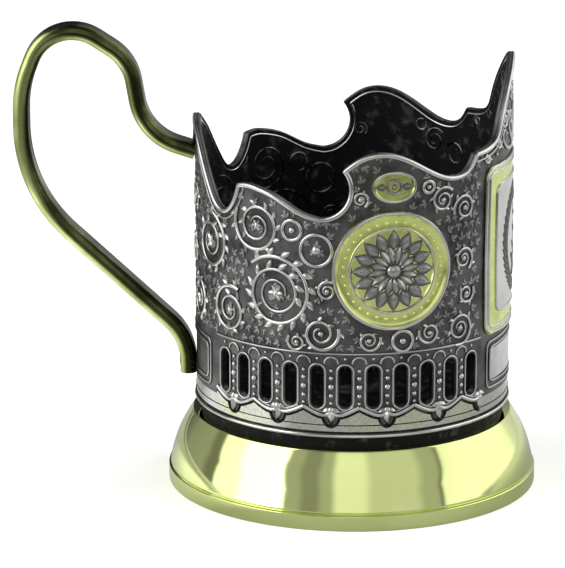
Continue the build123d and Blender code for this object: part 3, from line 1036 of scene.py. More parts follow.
class PODSTAKANNIK_OT_leaves(bpy.types.Operator):
    """Fringe the volutes with leaves, set their bosses and fill the ground with sprigs"""
    bl_idname = "podstakannik.leaves"
    bl_label = "Leaves, bosses and sprigs"

    # The ground beside the plaque and the handle: its ends, its lower edge and the sprigs' first row
    GROUND_ENDS = (39, 176)
    GROUND_BOTTOM = 39.0
    FIRST_ROW = 39.6
    PLAQUE_ROOM = 1.5
    LEAF_ROOM = 0.7
    RIM_ROOM = 1.0
    LONGEST_SPRIG = 2.1
    SPRIG_SPREAD = 48
    # A fringe leaf grows with its volute's radius, and heights and breadths are shares of the template's
    FRINGE_LEAST = 0.9
    FRINGE_GROWTH = 0.24
    FRINGE_HEIGHT = 1.1
    SPRIG_HEIGHT = 0.6
    LEAF_BREADTH = 1.25
    PETAL_LENGTH = 1.05
    PETAL_HEIGHT = 1.2
    PETAL_BREADTH = 1.2
    VOLUTE_BOSS_HEIGHT = 1.3
    RING_BOSS_HEIGHT = 1.5

    def execute(self, context):
        relief = context.scene.relief_sizes
        leaf = leaf_template(relief.leaf_width / MM, relief.leaf_height)
        pearl = pearl_template(relief.pearl)
        edges = rim_line() + self.medallion_edges()
        border = nearest_to(edges)
        leaves = []
        pearls = []
        lines = []
        for angle, height, radius, start, turns in VOLUTES:
            centre = spot(angle, height)
            line = volute(angle, height, radius, start, turns)
            lines += line
            reach = (self.FRINGE_LEAST + self.FRINGE_GROWTH * radius) * MM
            for place, turn in fringe(line, centre, relief.fringe_pitch):
                tip = place + reach * Vector((cos(turn), 0, sin(turn)))
                if self.has_room(tip, border, self.LEAF_ROOM * MM):
                    leaves.append((place, turn, (reach, self.FRINGE_HEIGHT, self.LEAF_BREADTH * reach)))
                    lines += [tip, (place + tip) / 2]
            petals = 6 if radius > SMALL_VOLUTE else 5
            petal = (1 - VOLUTE_TIGHTNESS) * radius * MM
            scale = (self.PETAL_LENGTH * petal, self.PETAL_HEIGHT, self.PETAL_BREADTH * petal)
            leaves += [(centre, number * 2 * pi / petals, scale) for number in range(petals)]
            boss = 1.1 + 0.06 * radius
            pearls.append((centre, 0, (boss, self.VOLUTE_BOSS_HEIGHT, boss)))
        for angle, height, radius in RINGS:
            centre = spot(angle, height)
            lines += [*circle(centre, radius * MM), centre]
            boss = 0.45 * radius + 0.6
            pearls.append((centre, 0, (boss, self.RING_BOSS_HEIGHT, boss)))
        on_band(copies("leaves", leaf, leaves))
        on_band(copies("pearls", pearl, pearls))
        on_band(copies("sprigs", leaf, self.sprigs(relief, nearest_to(lines + edges), border)))
        bpy.data.objects.remove(leaf)
        bpy.data.objects.remove(pearl)
        return {"FINISHED"}

    def medallion_edges(self):
        """Points all over the places that the medallions cover."""
        round_one = medallion_middle(MEDAL_LOW, MEDAL_HIGH)
        oval = medallion_middle(SMALL_MEDAL_LOW, SMALL_MEDAL_HIGH)
        radius = (MEDAL_HIGH.z - MEDAL_LOW.z) / 2
        points = []
        for share in (0.25, 0.5, 0.75, 0.9, 1.0):
            points += circle(round_one, share * radius)
            points += circle(oval, share * OVAL_HALF_WIDTH * MM, flatten=OVAL_FLATNESS)
        return points

    def ground_ends(self):
        """Where the ground ends on the sheet, on the handle's side and on the plaque's."""
        right, left = (spot(angle, 0).x for angle in self.GROUND_ENDS)
        return left, right

    def has_room(self, place, border, room):
        """Whether a place over the windows or the plaque has room from the rim and the medallions."""
        left, right = self.ground_ends()
        beside = left < place.x < right and place.z > self.GROUND_BOTTOM * MM
        over_plaque = place.z > PLAQUE_HIGH.z + self.PLAQUE_ROOM * MM
        return border.find(place)[2] > room and (beside or over_plaque)

    def sprigs(self, relief, taken, border):
        """Three small leaves in each free place of the ground, leaning away from what lies nearest."""
        sprigs = []
        rim = rim_line()
        room = self.RIM_ROOM * MM
        left, right = self.ground_ends()
        rows = ceil((BAND_HIGH.z - self.GROUND_BOTTOM * MM) / relief.sprig_pitch)
        columns = ceil((right - left) / relief.sprig_pitch)
        for row in range(rows):
            for column in range(columns):
                across = left + (column + 0.5 * (row % 2)) * relief.sprig_pitch
                place = Vector((across, 0, self.FIRST_ROW * MM + row * relief.sprig_pitch))
                roof = min(point.z for point in rim if abs(point.x - across) < 0.7 * MM)
                point, number, distance = taken.find(place)
                if place.z > roof - room or distance < relief.sprig_room:
                    continue
                if not self.has_room(place, border, room):
                    continue
                away = place - point
                turn = atan2(away.z, away.x)
                size = min(1.5 * distance, self.LONGEST_SPRIG * MM)
                base = place - 0.45 * away.normalized() * size
                for side in (-1, 0, 1):
                    reach = size * (1 - 0.25 * abs(side))
                    direction = turn + side * radians(self.SPRIG_SPREAD)
                    sprigs.append((base, direction, (reach, self.SPRIG_HEIGHT, self.LEAF_BREADTH * reach)))
        return sprigs


class PODSTAKANNIK_OT_crests(bpy.types.Operator):
    """Put a palmette on each crest and panels under the plaque and the handle"""
    bl_idname = "podstakannik.crests"
    bl_label = "Crest palmettes and panels"

    # Palmettes as (angle, height, size)
    PALMETTES = [(0, 79.4, 11.0), (180, 78.4, 4.2)]
    PALMETTE_SPREAD = 25
    PALMETTE_BREADTH = 0.72
    PALMETTE_PEARL = (1.8, 1.4, 1.8)
    SIDE_PEARL = (0.9, 0.9, 0.9)
    # Pearls and curls on each side of the larger palmette as (angle, height)
    PEARLS = [(9, 83.5), (13, 85.5), (16.5, 82.0), (20.5, 83.0), (22.5, 79.6), (27, 78.6)]
    CURLS = [
        [(2, 78.6), (7, 79.2), (12, 81.4), (14.5, 84.4), (12.5, 86.8), (9.8, 85.4), (11.4, 83.6)],
        [(8, 78.4), (15, 78.6), (20, 80.2), (21.6, 82.2), (19.6, 83.2), (18.4, 81.8)],
    ]
    EDGE_INSET = 1.9
    # Panels as (angle, half the angle that they cover)
    PLAQUE_PANEL = (0, 32.5)
    HANDLE_PANEL = (180, 27.5)
    PANEL_MIDDLE = 31.2
    PANEL_LENGTH = 10.6
    PANEL_CORNER = 1.5
    PANEL_INSETS = (0.0, 1.3)
    FIELD_INSET = 1.7
    FIELD_CORNER = 0.8
    FIELD_SHEET = 0.15

    def execute(self, context):
        relief = context.scene.relief_sizes
        leaf = leaf_template(0.42, 0.55 * MM)
        pearl = pearl_template(relief.pearl)
        leaves = []
        pearls = []
        curls = []
        for angle, height, size in self.PALMETTES:
            base = spot(angle, height)
            for turn in range(-3, 4):
                reach = size * (1 - 0.13 * abs(turn)) * MM
                direction = pi / 2 + turn * radians(self.PALMETTE_SPREAD)
                leaves.append((base, direction, (reach, 1.0, reach * self.PALMETTE_BREADTH)))
            pearls.append((base, 0, self.PALMETTE_PEARL))
        for side in (-1, 1):
            pearls += [(spot(side * angle, height), 0, self.SIDE_PEARL) for angle, height in self.PEARLS]
            for curl in self.CURLS:
                curls.append(smooth([spot(side * angle, height) for angle, height in curl]))
        on_band(copies("palmettes", leaf, leaves), back=False)
        on_band(copies("palmette_pearls", pearl, pearls), back=False)
        on_band(wires("palmette_curls", curls, relief.stem_wire, taper=0.5), back=False)
        bpy.data.objects.remove(leaf)
        bpy.data.objects.remove(pearl)
        edges = []
        for stretch in (PLAQUE_CREST, HANDLE_CREST):
            edge = smooth([spot(angle, BAND_BOTTOM + height) for angle, height in stretch])
            edges.append(inset_line(edge, self.EDGE_INSET * MM))
        on_band(wires("crest_lines", edges, relief.thin_wire))
        panels = [self.panel(context, place, inset, self.PANEL_CORNER)
                  for place in (self.PLAQUE_PANEL, self.HANDLE_PANEL) for inset in self.PANEL_INSETS]
        frames = [smooth(panel + panel[:1]) for panel in panels]
        on_band(wires("panel_frames", frames, relief.thin_wire), back=False)
        outline = self.panel(context, self.PLAQUE_PANEL, self.FIELD_INSET, self.FIELD_CORNER)
        field = sheet("panel_field", outline)
        slice_sheet(field, context.scene.band_sizes.slice_width)
        modify(field, "SOLIDIFY", thickness=self.FIELD_SHEET * MM, offset=1)
        on_band(field, back=False, finish=burnished_nickel())
        return {"FINISHED"}

    def panel(self, context, place, inset, corner):
        """A panel's outline, drawn in by an inset."""
        angle, half = place
        width = context.scene.band_sizes.radius * 2 * radians(half) - 2 * inset * MM
        height = (self.PANEL_LENGTH - 2 * inset) * MM
        return rounded_box(spot(angle, self.PANEL_MIDDLE), width, height, corner * MM)


class PODSTAKANNIK_OT_medallions(bpy.types.Operator):
    """Turn the round and the oval medallion of each side"""
    bl_idname = "podstakannik.medallions"
    bl_label = "Medallions"

    SEAT = 0.05
    RELIEF_LIFT = 0.5
    # Plates from the rim inwards as (distance from the rim, rise over the seat), and the middle's rise
    ROUND_PLATE = [
        (0, 0), (0, 0.55), (0.35, 0.95), (0.95, 0.95), (1.35, 0.5), (1.6, 0.42), (3.6, 0.5), (3.7, 0.75),
        (4.2, 0.75), (4.4, 0.45), (8.5, 0.52),
    ]
    ROUND_MIDDLE = 0.55
    OVAL_PLATE = [(0, 0), (0, 0.6), (0.3, 0.95), (0.7, 0.95), (1.0, 0.5)]
    OVAL_MIDDLE = 0.6
    # Rows of petals as (distance from the middle, turn in petals, length, height, width)
    PETALS = 16
    PETAL_ROWS = [(1.5, 0.5, 4.4, 1.6, 5.0), (4.8, 0.0, 4.2, 1.3, 6.6)]
    PEARL_CIRCLE = 10.8
    PEARL_PITCH = 2.1
    PEARL = (0.85, 0.7, 0.85)
    BOSS = (3.4, 2.2, 3.4)
    # Lines as (name, distance from the rim, radius, lift)
    ROUND_LINES = [("outer_edge", 0.55, 0.4, 0.75), ("inner_edge", 3.95, 0.3, 0.65)]
    OVAL_LINES = [("small_edge", 0.4, 0.32, 0.8)]
    RING_LINES = [("small_ring", 0, 0.28, 0.75)]
    OVAL_RING = 1.5
    OVAL_LEAF_PLACE = 1.8
    OVAL_LEAF = (2.2 * MM, 1.0, 3.8 * MM)
    OVAL_PEARL = (1.3, 1.1, 1.3)

    def execute(self, context):
        lift = Vector((0, -self.RELIEF_LIFT * MM, 0))
        leaf = leaf_template(0.42, 0.5 * MM)
        pearl = pearl_template(0.5 * MM)
        self.round_pair(lift, leaf, pearl)
        self.oval_pair(lift, leaf, pearl)
        bpy.data.objects.remove(leaf)
        bpy.data.objects.remove(pearl)
        return {"FINISHED"}

    def round_pair(self, lift, leaf, pearl):
        """The round medallions with their rosettes."""
        centre = medallion_middle(MEDAL_LOW, MEDAL_HIGH)
        radius = (MEDAL_HIGH.z - MEDAL_LOW.z) / 2
        plate = self.plate("medallion", centre, radius, self.ROUND_PLATE, self.ROUND_MIDDLE)
        leaves = []
        petal = 2 * pi / self.PETALS
        for number in range(self.PETALS):
            out = Vector((cos(number * petal), 0, sin(number * petal)))
            for distance, turn, reach, height, width in self.PETAL_ROWS:
                place = centre + lift + out * distance * MM
                leaves.append((place, (number + turn) * petal, (reach * MM, height, width * MM)))
        ring = circle(centre, self.PEARL_CIRCLE * MM, step=self.PEARL_PITCH * MM)
        pearls = [(place + lift, 0, self.PEARL) for place in ring]
        boss = copies("rosette_boss", pearl, [(centre + lift, 0, self.BOSS)])
        rosette = join("rosette", [copies("rosette_leaves", leaf, leaves), boss])
        plate = join("medallion", [plate, copies("rosette_pearls", pearl, pearls)])
        edge = join("medallion_edge", self.lines(centre, radius, self.ROUND_LINES))
        self.pair("medallion", plate, rosette, edge)

    def oval_pair(self, lift, leaf, pearl):
        """The oval medallions with a ring between two leaves."""
        centre = medallion_middle(SMALL_MEDAL_LOW, SMALL_MEDAL_HIGH)
        half_width = OVAL_HALF_WIDTH * MM
        oval = self.plate(
            "small_medallion", centre, half_width, self.OVAL_PLATE, self.OVAL_MIDDLE, OVAL_FLATNESS)
        leaves = []
        for side in (-1, 1):
            place = centre + lift + Vector((side * self.OVAL_LEAF_PLACE * MM, 0, 0))
            leaves.append((place, pi / 2 - side * pi / 2, self.OVAL_LEAF))
        detail = join("small_detail", [
            *self.lines(centre, self.OVAL_RING * MM, self.RING_LINES),
            copies("small_leaves", leaf, leaves),
            copies("small_pearl", pearl, [(centre + lift, 0, self.OVAL_PEARL)]),
        ])
        edge = self.lines(centre, half_width, self.OVAL_LINES, OVAL_FLATNESS)[0]
        self.pair("small_medallion", oval, detail, edge)

    def lines(self, centre, radius, rows, flatten=1.0):
        """Wires round a plate."""
        pieces = []
        for name, inset, thickness, lift in rows:
            line = circle(centre, radius - inset * MM, flatten=flatten)
            pieces.append(wires(name, [line], thickness * MM, closed=True, depth=lift * MM))
        return pieces

    def plate(self, name, centre, radius, steps, middle, flatten=1.0):
        """A plate that is turned from its profile."""
        seat = self.SEAT * MM
        profile = [(radius - inset * MM, seat + rise * MM) for inset, rise in steps]
        return disc(name, [(0, seat), *profile, (0, seat + middle * MM)], centre, flatten)

    def pair(self, name, plate, relief, edge):
        """Lays a relief on a gilded plate, wraps them and mirrors a copy to the back."""
        plate.data.materials.append(gilding())
        relief.data.materials.append(oxidised_nickel())
        edge.data.materials.append(burnished_nickel())
        front = join(name, [plate, relief, edge])
        wrap(front)
        front.name = name + "_front.dressed"
        back = link_object(name + "_back.dressed", front.data.copy())
        back.data.transform(Matrix.Diagonal((1, -1, 1, 1)))
        back.data.flip_normals()
        for piece, node in ((front, name + "_front"), (back, name + "_back")):
            soften(piece, 45)
            dress(piece, "gilded_brass")
            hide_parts(node)


class PODSTAKANNIK_OT_plaque(bpy.types.Operator):
    """Cut the plaque with its double frame, a wreath and a sprig"""
    bl_idname = "podstakannik.plaque"
    bl_label = "Plaque"

    SEAT = 0.05
    SHEET = 0.35
    CORNER = 3.0
    FRAME_INSETS = (0.45, 1.7)
    FRAME_WIRE = 0.34
    FRAME_LIFT = 0.4
    # The inner panel, which is narrower and lower than the plaque
    PANEL_NARROWER = 10.0
    PANEL_LOWER = 9.5
    PANEL_CORNER = 2.0
    PANEL_SHEET = 0.15
    BORDER_LIFT = 0.45
    RELIEF_LIFT = 0.5
    STEM_WIRE = 0.3
    # The sprig's stem as (distance to the right of the plaque's middle, height over it)
    STEM = [(-3.6, -9), (-1.2, -5.5), (0.4, -1.4), (0.8, 2.8), (0, 7.4)]
    STEM_LEAVES = 9
    STEM_LEAF = 5.6
    STEM_SPREAD = 50
    TOP_LEAF = 3.4
    LEAF_HEIGHT = 0.8
    LEAF_BREADTH = 0.95
    WREATH_LEAF = (3.3 * MM, 0.7, 3.6 * MM)
    WREATH_PITCH = 0.8
    WREATH_RADIUS = 11.4
    WREATH_SWEEP = 158
    WREATH_SPREAD = 32

    def execute(self, context):
        sizes = context.scene.band_sizes
        height = PLAQUE_HIGH.z - PLAQUE_LOW.z
        half_width = (PLAQUE_HIGH.y - PLAQUE_LOW.y) / 2
        width = 2 * sizes.radius * asin(half_width / sizes.radius)
        centre = spot(0, (PLAQUE_HIGH.z + PLAQUE_LOW.z) / 2 / MM)
        outline = rounded_box(centre, width, height, self.CORNER * MM)
        field = self.plate("plaque_field", outline, self.SHEET, self.SEAT, sizes.slice_width)
        frames = []
        for distance in self.FRAME_INSETS:
            inset = distance * MM
            line = rounded_box(centre, width - 2 * inset, height - 2 * inset, self.CORNER * MM - inset)
            frames.append(smooth(line + line[:1]))
        lines = wires("plaque_frame", frames, self.FRAME_WIRE * MM, depth=self.FRAME_LIFT * MM)
        inner = rounded_box(
            centre, width - self.PANEL_NARROWER * MM, height - self.PANEL_LOWER * MM, self.PANEL_CORNER * MM)
        panel = self.plate("plaque_panel", inner, self.PANEL_SHEET, self.FRAME_LIFT, sizes.slice_width)
        ring = smooth(inner + inner[:1])
        border = wires("plaque_border", [ring], self.FRAME_WIRE * MM, depth=self.BORDER_LIFT * MM)
        sprig = self.sprig(centre)
        field.data.materials.append(gilding())
        for piece in (lines, border, panel):
            piece.data.materials.append(burnished_nickel())
        sprig.data.materials.append(oxidised_nickel())
        plaque = join("plaque.dressed", [field, lines, border, panel, sprig])
        wrap(plaque)
        soften(plaque, 45)
        dress(plaque, "gilded_brass")
        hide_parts("plaque")
        return {"FINISHED"}

    def plate(self, name, outline, thickness, lift, slice_width):
        """A flat plate that lies on the sheet at a height."""
        piece = sheet(name, outline)
        slice_sheet(piece, slice_width)
        modify(piece, "SOLIDIFY", thickness=thickness * MM, offset=1)
        piece.data.transform(Matrix.Translation((0, -lift * MM, 0)))
        return piece

    def sprig(self, centre):
        """A sprig between the two branches of a wreath."""
        leaf = leaf_template(0.42, 0.45 * MM)
        lift = Vector((0, -self.RELIEF_LIFT * MM, 0))
        stem = smooth([centre + Vector((across * MM, 0, up * MM)) for across, up in self.STEM])
        leaves = []
        for number in range(self.STEM_LEAVES):
            place = stem[int((number + 0.6) * len(stem) / (self.STEM_LEAVES + 1))]
            side = 1 if number % 2 else -1
            reach = self.STEM_LEAF * MM * (1 - 0.05 * number)
            direction = pi / 2 + side * radians(self.STEM_SPREAD)
            leaves.append((place + lift, direction, (reach, self.LEAF_HEIGHT, self.LEAF_BREADTH * reach)))
        leaves.append((stem[-1] + lift, pi / 2, (self.TOP_LEAF * MM, self.LEAF_HEIGHT, self.TOP_LEAF * MM)))
        branches = []
        for side in (-1, 1):
            sweep = side * radians(self.WREATH_SWEEP)
            branch = circle(centre, self.WREATH_RADIUS * MM, -pi / 2, sweep, step=self.WREATH_PITCH * MM)
            branches.append(branch)
            for before, place in list(zip(branch, branch[1:]))[2::2]:
                along = atan2(place.z - before.z, place.x - before.x)
                for lean in (-1, 1):
                    direction = along + lean * radians(self.WREATH_SPREAD)
                    leaves.append((place + lift, direction, self.WREATH_LEAF))
        stems = wires(
            "sprig_stem", [stem, *branches], self.STEM_WIRE * MM, taper=0.4, depth=self.RELIEF_LIFT * MM)
        sprig = join("sprig", [stems, copies("sprig_leaves", leaf, leaves)])
        bpy.data.objects.remove(leaf)
        return sprig


class PODSTAKANNIK_OT_foot(bpy.types.Operator):
    """Spin the hollow bell of the foot with its lip"""
    bl_idname = "podstakannik.foot"
    bl_label = "Foot"

    GROOVE_RISE = 0.15
    EDGE = 0.12

    def execute(self, context):
        sizes = context.scene.foot_sizes
        top = FOOT_HIGH.z
        lip = FOOT_HIGH.x
        outside = self.bell(sizes, 0)
        inside = self.bell(sizes, sizes.sheet)
        profile = [
            (sizes.hole, top), *outside[:-1], (lip - sizes.groove, sizes.lip_height + self.GROOVE_RISE * MM),
            (lip, sizes.lip_height), (lip, 0), (inside[-1][0], 0),
            *reversed(inside), (sizes.hole, top - sizes.sheet),
        ]
        foot = spun("foot.dressed", profile, steps=192, bevel=self.EDGE * MM)
        soften(foot, 32)
        dress(foot, "polished_brass", spun_brass())
        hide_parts("foot")
        return {"FINISHED"}

    def bell(self, sizes, inset):
        """The bell's curve from the shoulder to the lip, moved inwards by the sheet."""
        corners = [
            (sizes.shoulder_radius, FOOT_HIGH.z - inset),
            (sizes.bell_radius, sizes.bell_height),
            (FOOT_HIGH.x - sizes.lip_proud, sizes.lip_height),
        ]
        line = smooth([Vector((radius - inset, 0, height)) for radius, height in corners], step=0.5 * MM)
        return [(point.x, point.z) for point in line]


class PODSTAKANNIK_OT_neck_and_floor(bpy.types.Operator):
    """Spin the neck ring and the floor with its pressed dish"""
    bl_idname = "podstakannik.neck_and_floor"
    bl_label = "Neck ring and floor"

    NECK_EDGE = 0.1
    FLOOR_EDGE = 0.25
    FLOOR_SHEET = 1.0
    DISH_RADIUS = 6.0

    def execute(self, context):
        sizes = context.scene.band_sizes
        hole = sizes.radius - sizes.wall - sizes.flange
        neck = square_ring(
            "neck_ring.dressed", hole, NECK_HIGH.x, NECK_LOW.z, NECK_HIGH.z, bevel=self.NECK_EDGE * MM)
        thickness = self.FLOOR_SHEET * MM
        dish = self.DISH_RADIUS * MM
        drop = FLOOR_HIGH.z - FLOOR_LOW.z - thickness
        screw_hole = context.scene.foot_sizes.hole
        floor = spun("floor_plate.dressed", [
            (screw_hole, FLOOR_LOW.z), (dish + thickness, FLOOR_LOW.z),
            (dish + thickness + drop, FLOOR_HIGH.z - thickness), (FLOOR_HIGH.x, FLOOR_HIGH.z - thickness),
            (FLOOR_HIGH.x, FLOOR_HIGH.z), (dish + drop, FLOOR_HIGH.z), (dish, FLOOR_LOW.z + thickness),
            (screw_hole, FLOOR_LOW.z + thickness),
        ], bevel=self.FLOOR_EDGE * MM)
        for piece in (neck, floor):
            soften(piece)
            dress(piece, "dark_inside", blackened_and_painted_shadow())
        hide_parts("neck_ring")
        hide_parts("floor_plate")
        return {"FINISHED"}


class PODSTAKANNIK_OT_handle(bpy.types.Operator):
    """Bend the handle's strip to its loop and head its rivet"""
    bl_idname = "podstakannik.handle"
    bl_label = "Handle and rivet"

    # Bends as (distance from the wall, rise over the upper joint, radius)
    BENDS = [
        (11.6, 3.7, 13.0), (14.5, 20.6, 11.0), (31.85, 31.9, 9.7), (38.8, 14.3, 26.0), (38.8, -9.0, 33.0),
    ]
    TAB_BEND_RADIUS = 13.0
    TAB_GAP = 0.05
    # The rivet's head from its hidden foot outwards as (share of its radius, distance from the tab's face)
    RIVET_HEAD = [(0, -1.5), (1, -1.5), (1, 0.02), (0.7, 0.2), (0, 0.28)]

    def execute(self, context):
        sizes = context.scene.handle_sizes
        radius = context.scene.band_sizes.radius
        tab = radius + self.TAB_GAP * MM + sizes.thickness / 2
        corners = [Vector((-radius, 0, sizes.joint_height))]
        for out, up, bend in self.BENDS:
            corners.append(Vector((-radius - out * MM, 0, sizes.joint_height + up * MM)))
        corners += [Vector((-tab, 0, sizes.tab_bend_height)), Vector((-tab, 0, sizes.tab_end_height))]
        radii = [bend * MM for out, up, bend in self.BENDS] + [self.TAB_BEND_RADIUS * MM]
        handle = self.strip(sizes, self.bent(corners, radii))
        soften(handle, 35)
        dress(handle, "polished_brass", aged_brass_and_painted_shade())
        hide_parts("handle")

        head = (RIVET_HIGH.z - RIVET_LOW.z) / 2
        profile = [(share * head, rise * MM) for share, rise in self.RIVET_HEAD]
        rivet = spun("handle_rivet.dressed", profile, steps=32)
        place = Matrix.Translation((RIVET_LOW.x, 0, (RIVET_LOW.z + RIVET_HIGH.z) / 2))
        rivet.data.transform(place @ Matrix.Rotation(-pi / 2, 4, "Y"))
        soften(rivet, 50)
        dress(rivet, "polished_brass", aged_brass_and_painted_shade())
        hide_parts("handle_rivet")
        return {"FINISHED"}

    def strip(self, sizes, path):
        """The strip's rounded profile, drawn along its path."""
        profile = link_object("strip_profile", bpy.data.curves.new("strip_profile", "CURVE"))
        profile.data.dimensions = "2D"
        outline = rounded_box(Vector((0, 0, 0)), sizes.width, sizes.thickness, sizes.edge)
        spline = poly_line(profile.data, [(place.x, place.z, 0) for place in outline])
        spline.use_cyclic_u = True
        curve = bpy.data.curves.new("handle.dressed", "CURVE")
        curve.dimensions = "3D"
        curve.bevel_mode = "OBJECT"
        curve.bevel_object = profile
        curve.use_fill_caps = True
        poly_line(curve, path)
        link_object("handle.dressed", curve)
        bpy.ops.object.convert(target="MESH")
        handle = bpy.context.object
        bpy.data.objects.remove(profile)
        return handle

    def bent(self, corners, radii):
        """A line with its corners rounded to the given radii."""
        line = [corners[0]]
        for before, corner, after, radius in zip(corners, corners[1:], corners[2:], radii):
            back = (before - corner).normalized()
            ahead = (after - corner).normalized()
            half = back.angle(ahead) / 2
            centre = corner + (back + ahead).normalized() * (radius / sin(half))
            start = corner + back * (radius * cos(half) / sin(half)) - centre
            end = corner + ahead * (radius * cos(half) / sin(half)) - centre
            count = max(4, ceil(start.angle(end) * radius / (0.9 * MM)))
            for step in range(count + 1):
                line.append(centre + start.normalized().slerp(end.normalized(), step / count) * radius)
        return line + [corners[-1]]


class PODSTAKANNIK_OT_fasteners(bpy.types.Operator):
    """Finish the screw, washer and nut under the floor"""
    bl_idname = "podstakannik.fasteners"
    bl_label = "Screw, washer and nut"

    def execute(self, context):
        for node in ("clamp_screw", "clamp_washer", "clamp_nut"):
            frame["nodes"][node].data.materials.clear()
            frame["nodes"][node].data.materials.append(zinc_plate())
        return {"FINISHED"}


class PODSTAKANNIK_OT_stage(bpy.types.Operator):
    """Set the pale floor, the soft lights and the camera"""
    bl_idname = "podstakannik.stage"
    bl_label = "Stage"

    # Softboxes as (name, azimuth, elevation, distance, size, power), in metres and watts
    SOFTBOXES = [
        ("left_softbox", -69, 42, 1.3, (1.2, 1.4), 9),
        ("right_softbox", 93, 42, 1.3, (1.7, 1.4), 11),
        ("top_softbox", 0, 88, 1.2, (0.8, 0.8), 4),
    ]
    LAMP_TARGET = Vector((0, 0, 50 * MM))
    # The studio's walls as (azimuth, brightness), with the softboxes' mirror images
    WALLS = [
        (-180, 0.03), (-158, 0.04), (-135, 0.3), (-112, 0.36), (-106, 0.2), (-98, 0.2), (-96, 1.5),
        (-79, 1.6), (-73, 2.7), (-44, 2.7), (-42, 0.42), (-34, 0.42), (-30, 0.28), (-22, 0.28), (-18, 0.46),
        (-13, 0.46), (-9, 1.0), (8, 1.0), (13, 0.7), (41, 0.7), (47, 0.46), (56, 0.46), (59, 0.16), (61, 1.2),
        (76, 1.45), (118, 1.45), (131, 1.2), (136, 0.9), (165, 0.45), (180, 0.03),
    ]
    # The floor's tones: as it is seen, and as the metal mirrors it in several places
    FLOOR_SEEN = 0.95
    FLOOR_NEAR = 0.33
    FLOOR_FAR = 0.04
    FLOOR_LEFT = 0.5
    FLOOR_RIGHT = 0.45
    FLOOR_UNDER_HANDLE = 0.9
    FLOOR_BEHIND = 0.52
    UNDER_HANDLE = Vector((-110 * MM, -20 * MM, 0))

    def execute(self, context):
        settings = context.scene.stage_settings
        self.floor(settings)
        self.world(context.scene)
        for softbox in self.SOFTBOXES:
            self.light(*softbox)
        view = self.direction(settings.azimuth, settings.elevation)
        camera = bpy.data.cameras.new("camera")
        camera.lens = settings.lens
        camera.sensor_width = 36
        camera.clip_end = 100
        place = link_object("camera", camera)
        place.location = Vector(settings.target) + settings.distance * view
        place.rotation_euler = view.to_track_quat("Z", "Y").to_euler()
        context.scene.camera = place
        context.scene.view_settings.view_transform = "Standard"
        return {"FINISHED"}

    def direction(self, turn, rise):
        """The direction from the holder to a place that is turned to the right and raised."""
        return Vector((sin(turn) * cos(rise), -cos(turn) * cos(rise), sin(rise)))

    def floor(self, settings):
        """A pale floor that the metal mirrors darker or brighter in places."""
        deselect()
        bpy.ops.mesh.primitive_plane_add(size=settings.floor_size)
        floor = bpy.context.object
        floor.name = "floor"
        material = bpy.data.materials.new("pale_floor")
        material.use_nodes = True
        tree = material.node_tree
        shader = tree.nodes["Principled BSDF"]
        shader.inputs["Roughness"].default_value = 0.9
        place = add(tree, "ShaderNodeTexCoord").outputs["Object"]
        across, along = add(tree, "ShaderNodeSeparateXYZ", n0=place).outputs[:2]
        reach = add(tree, "ShaderNodeVectorMath", {"operation": "LENGTH"}, n0=place).outputs["Value"]
        from_handle = add(tree, "ShaderNodeVectorMath", {"operation": "DISTANCE"},
                          n0=place, n1=self.UNDER_HANDLE).outputs["Value"]
        far = span(tree, reach, 0.2, 0.36, 0.0, 1.0)
        left = span(tree, across, -0.36, -0.26, 1.0, 0.0)
        right = span(tree, across, 0.08, 0.18, 0.0, 1.0)
        close = span(tree, reach, 0.21, 0.27, 1.0, 0.0)
        under_handle = span(tree, from_handle, 0.05, 0.08, 1.0, 0.0)
        behind = span(tree, along, 0.0, 0.08, 0.0, 1.0)
        beside = span(tree, across, 0.0, 0.05, 0.0, 1.0)
        mirrored = blend(tree, far, grey(self.FLOOR_NEAR), grey(self.FLOOR_FAR))
        mirrored = blend(tree, left, mirrored, grey(self.FLOOR_LEFT))
        mirrored = blend(tree, number(tree, "MULTIPLY", right, close), mirrored, grey(self.FLOOR_RIGHT))
        mirrored = blend(tree, under_handle, mirrored, grey(self.FLOOR_UNDER_HANDLE))
        mirrored = blend(tree, number(tree, "MULTIPLY", behind, beside), mirrored, grey(self.FLOOR_BEHIND))
        rays = add(tree, "ShaderNodeLightPath")
        tone = blend(tree, rays.outputs["Is Glossy Ray"], grey(self.FLOOR_SEEN), mirrored)
        plug(tree, tone, shader.inputs["Base Color"])
        floor.data.materials.append(material)

    def world(self, scene):
        """Studio walls whose brightness changes with the azimuth, under a dark ceiling."""
        world = bpy.data.worlds.new("studio")
        scene.world = world
        world.use_nodes = True
        tree = world.node_tree
        tree.nodes.clear()
        place = add(tree, "ShaderNodeTexCoord").outputs["Generated"]
        across, along, up = add(tree, "ShaderNodeSeparateXYZ", n0=place).outputs
        turn = number(tree, "ARCTAN2", across, number(tree, "MULTIPLY", along, -1.0))
        narrowed = number(tree, "MULTIPLY", turn, span(tree, up, 0.24, 0.61, 1.0, 0.85))
        ramp = add(tree, "ShaderNodeValToRGB", n0=span(tree, narrowed, -pi, pi, 0.0, 1.0))
        elements = ramp.color_ramp.elements
        while len(elements) < len(self.WALLS):
            elements.new(0.5)
        for element, (azimuth, tone) in zip(elements, self.WALLS):
            element.position = (azimuth + 180) / 360
            element.color = grey(tone)
        walls = number(tree, "MULTIPLY", ramp.outputs[0], span(tree, up, 0.74, 0.92, 1.0, 0.15))
        studio = add(tree, "ShaderNodeBackground", Color=walls, Strength=1.0).outputs[0]
        white = add(tree, "ShaderNodeBackground", Color=grey(1.0), Strength=1.0).outputs[0]
        rays = add(tree, "ShaderNodeLightPath")
        mix = add(tree, "ShaderNodeMixShader", n0=rays.outputs["Is Camera Ray"], n1=studio, n2=white)
        end = tree.nodes.new("ShaderNodeOutputWorld")
        plug(tree, mix.outputs[0], end.inputs["Surface"])

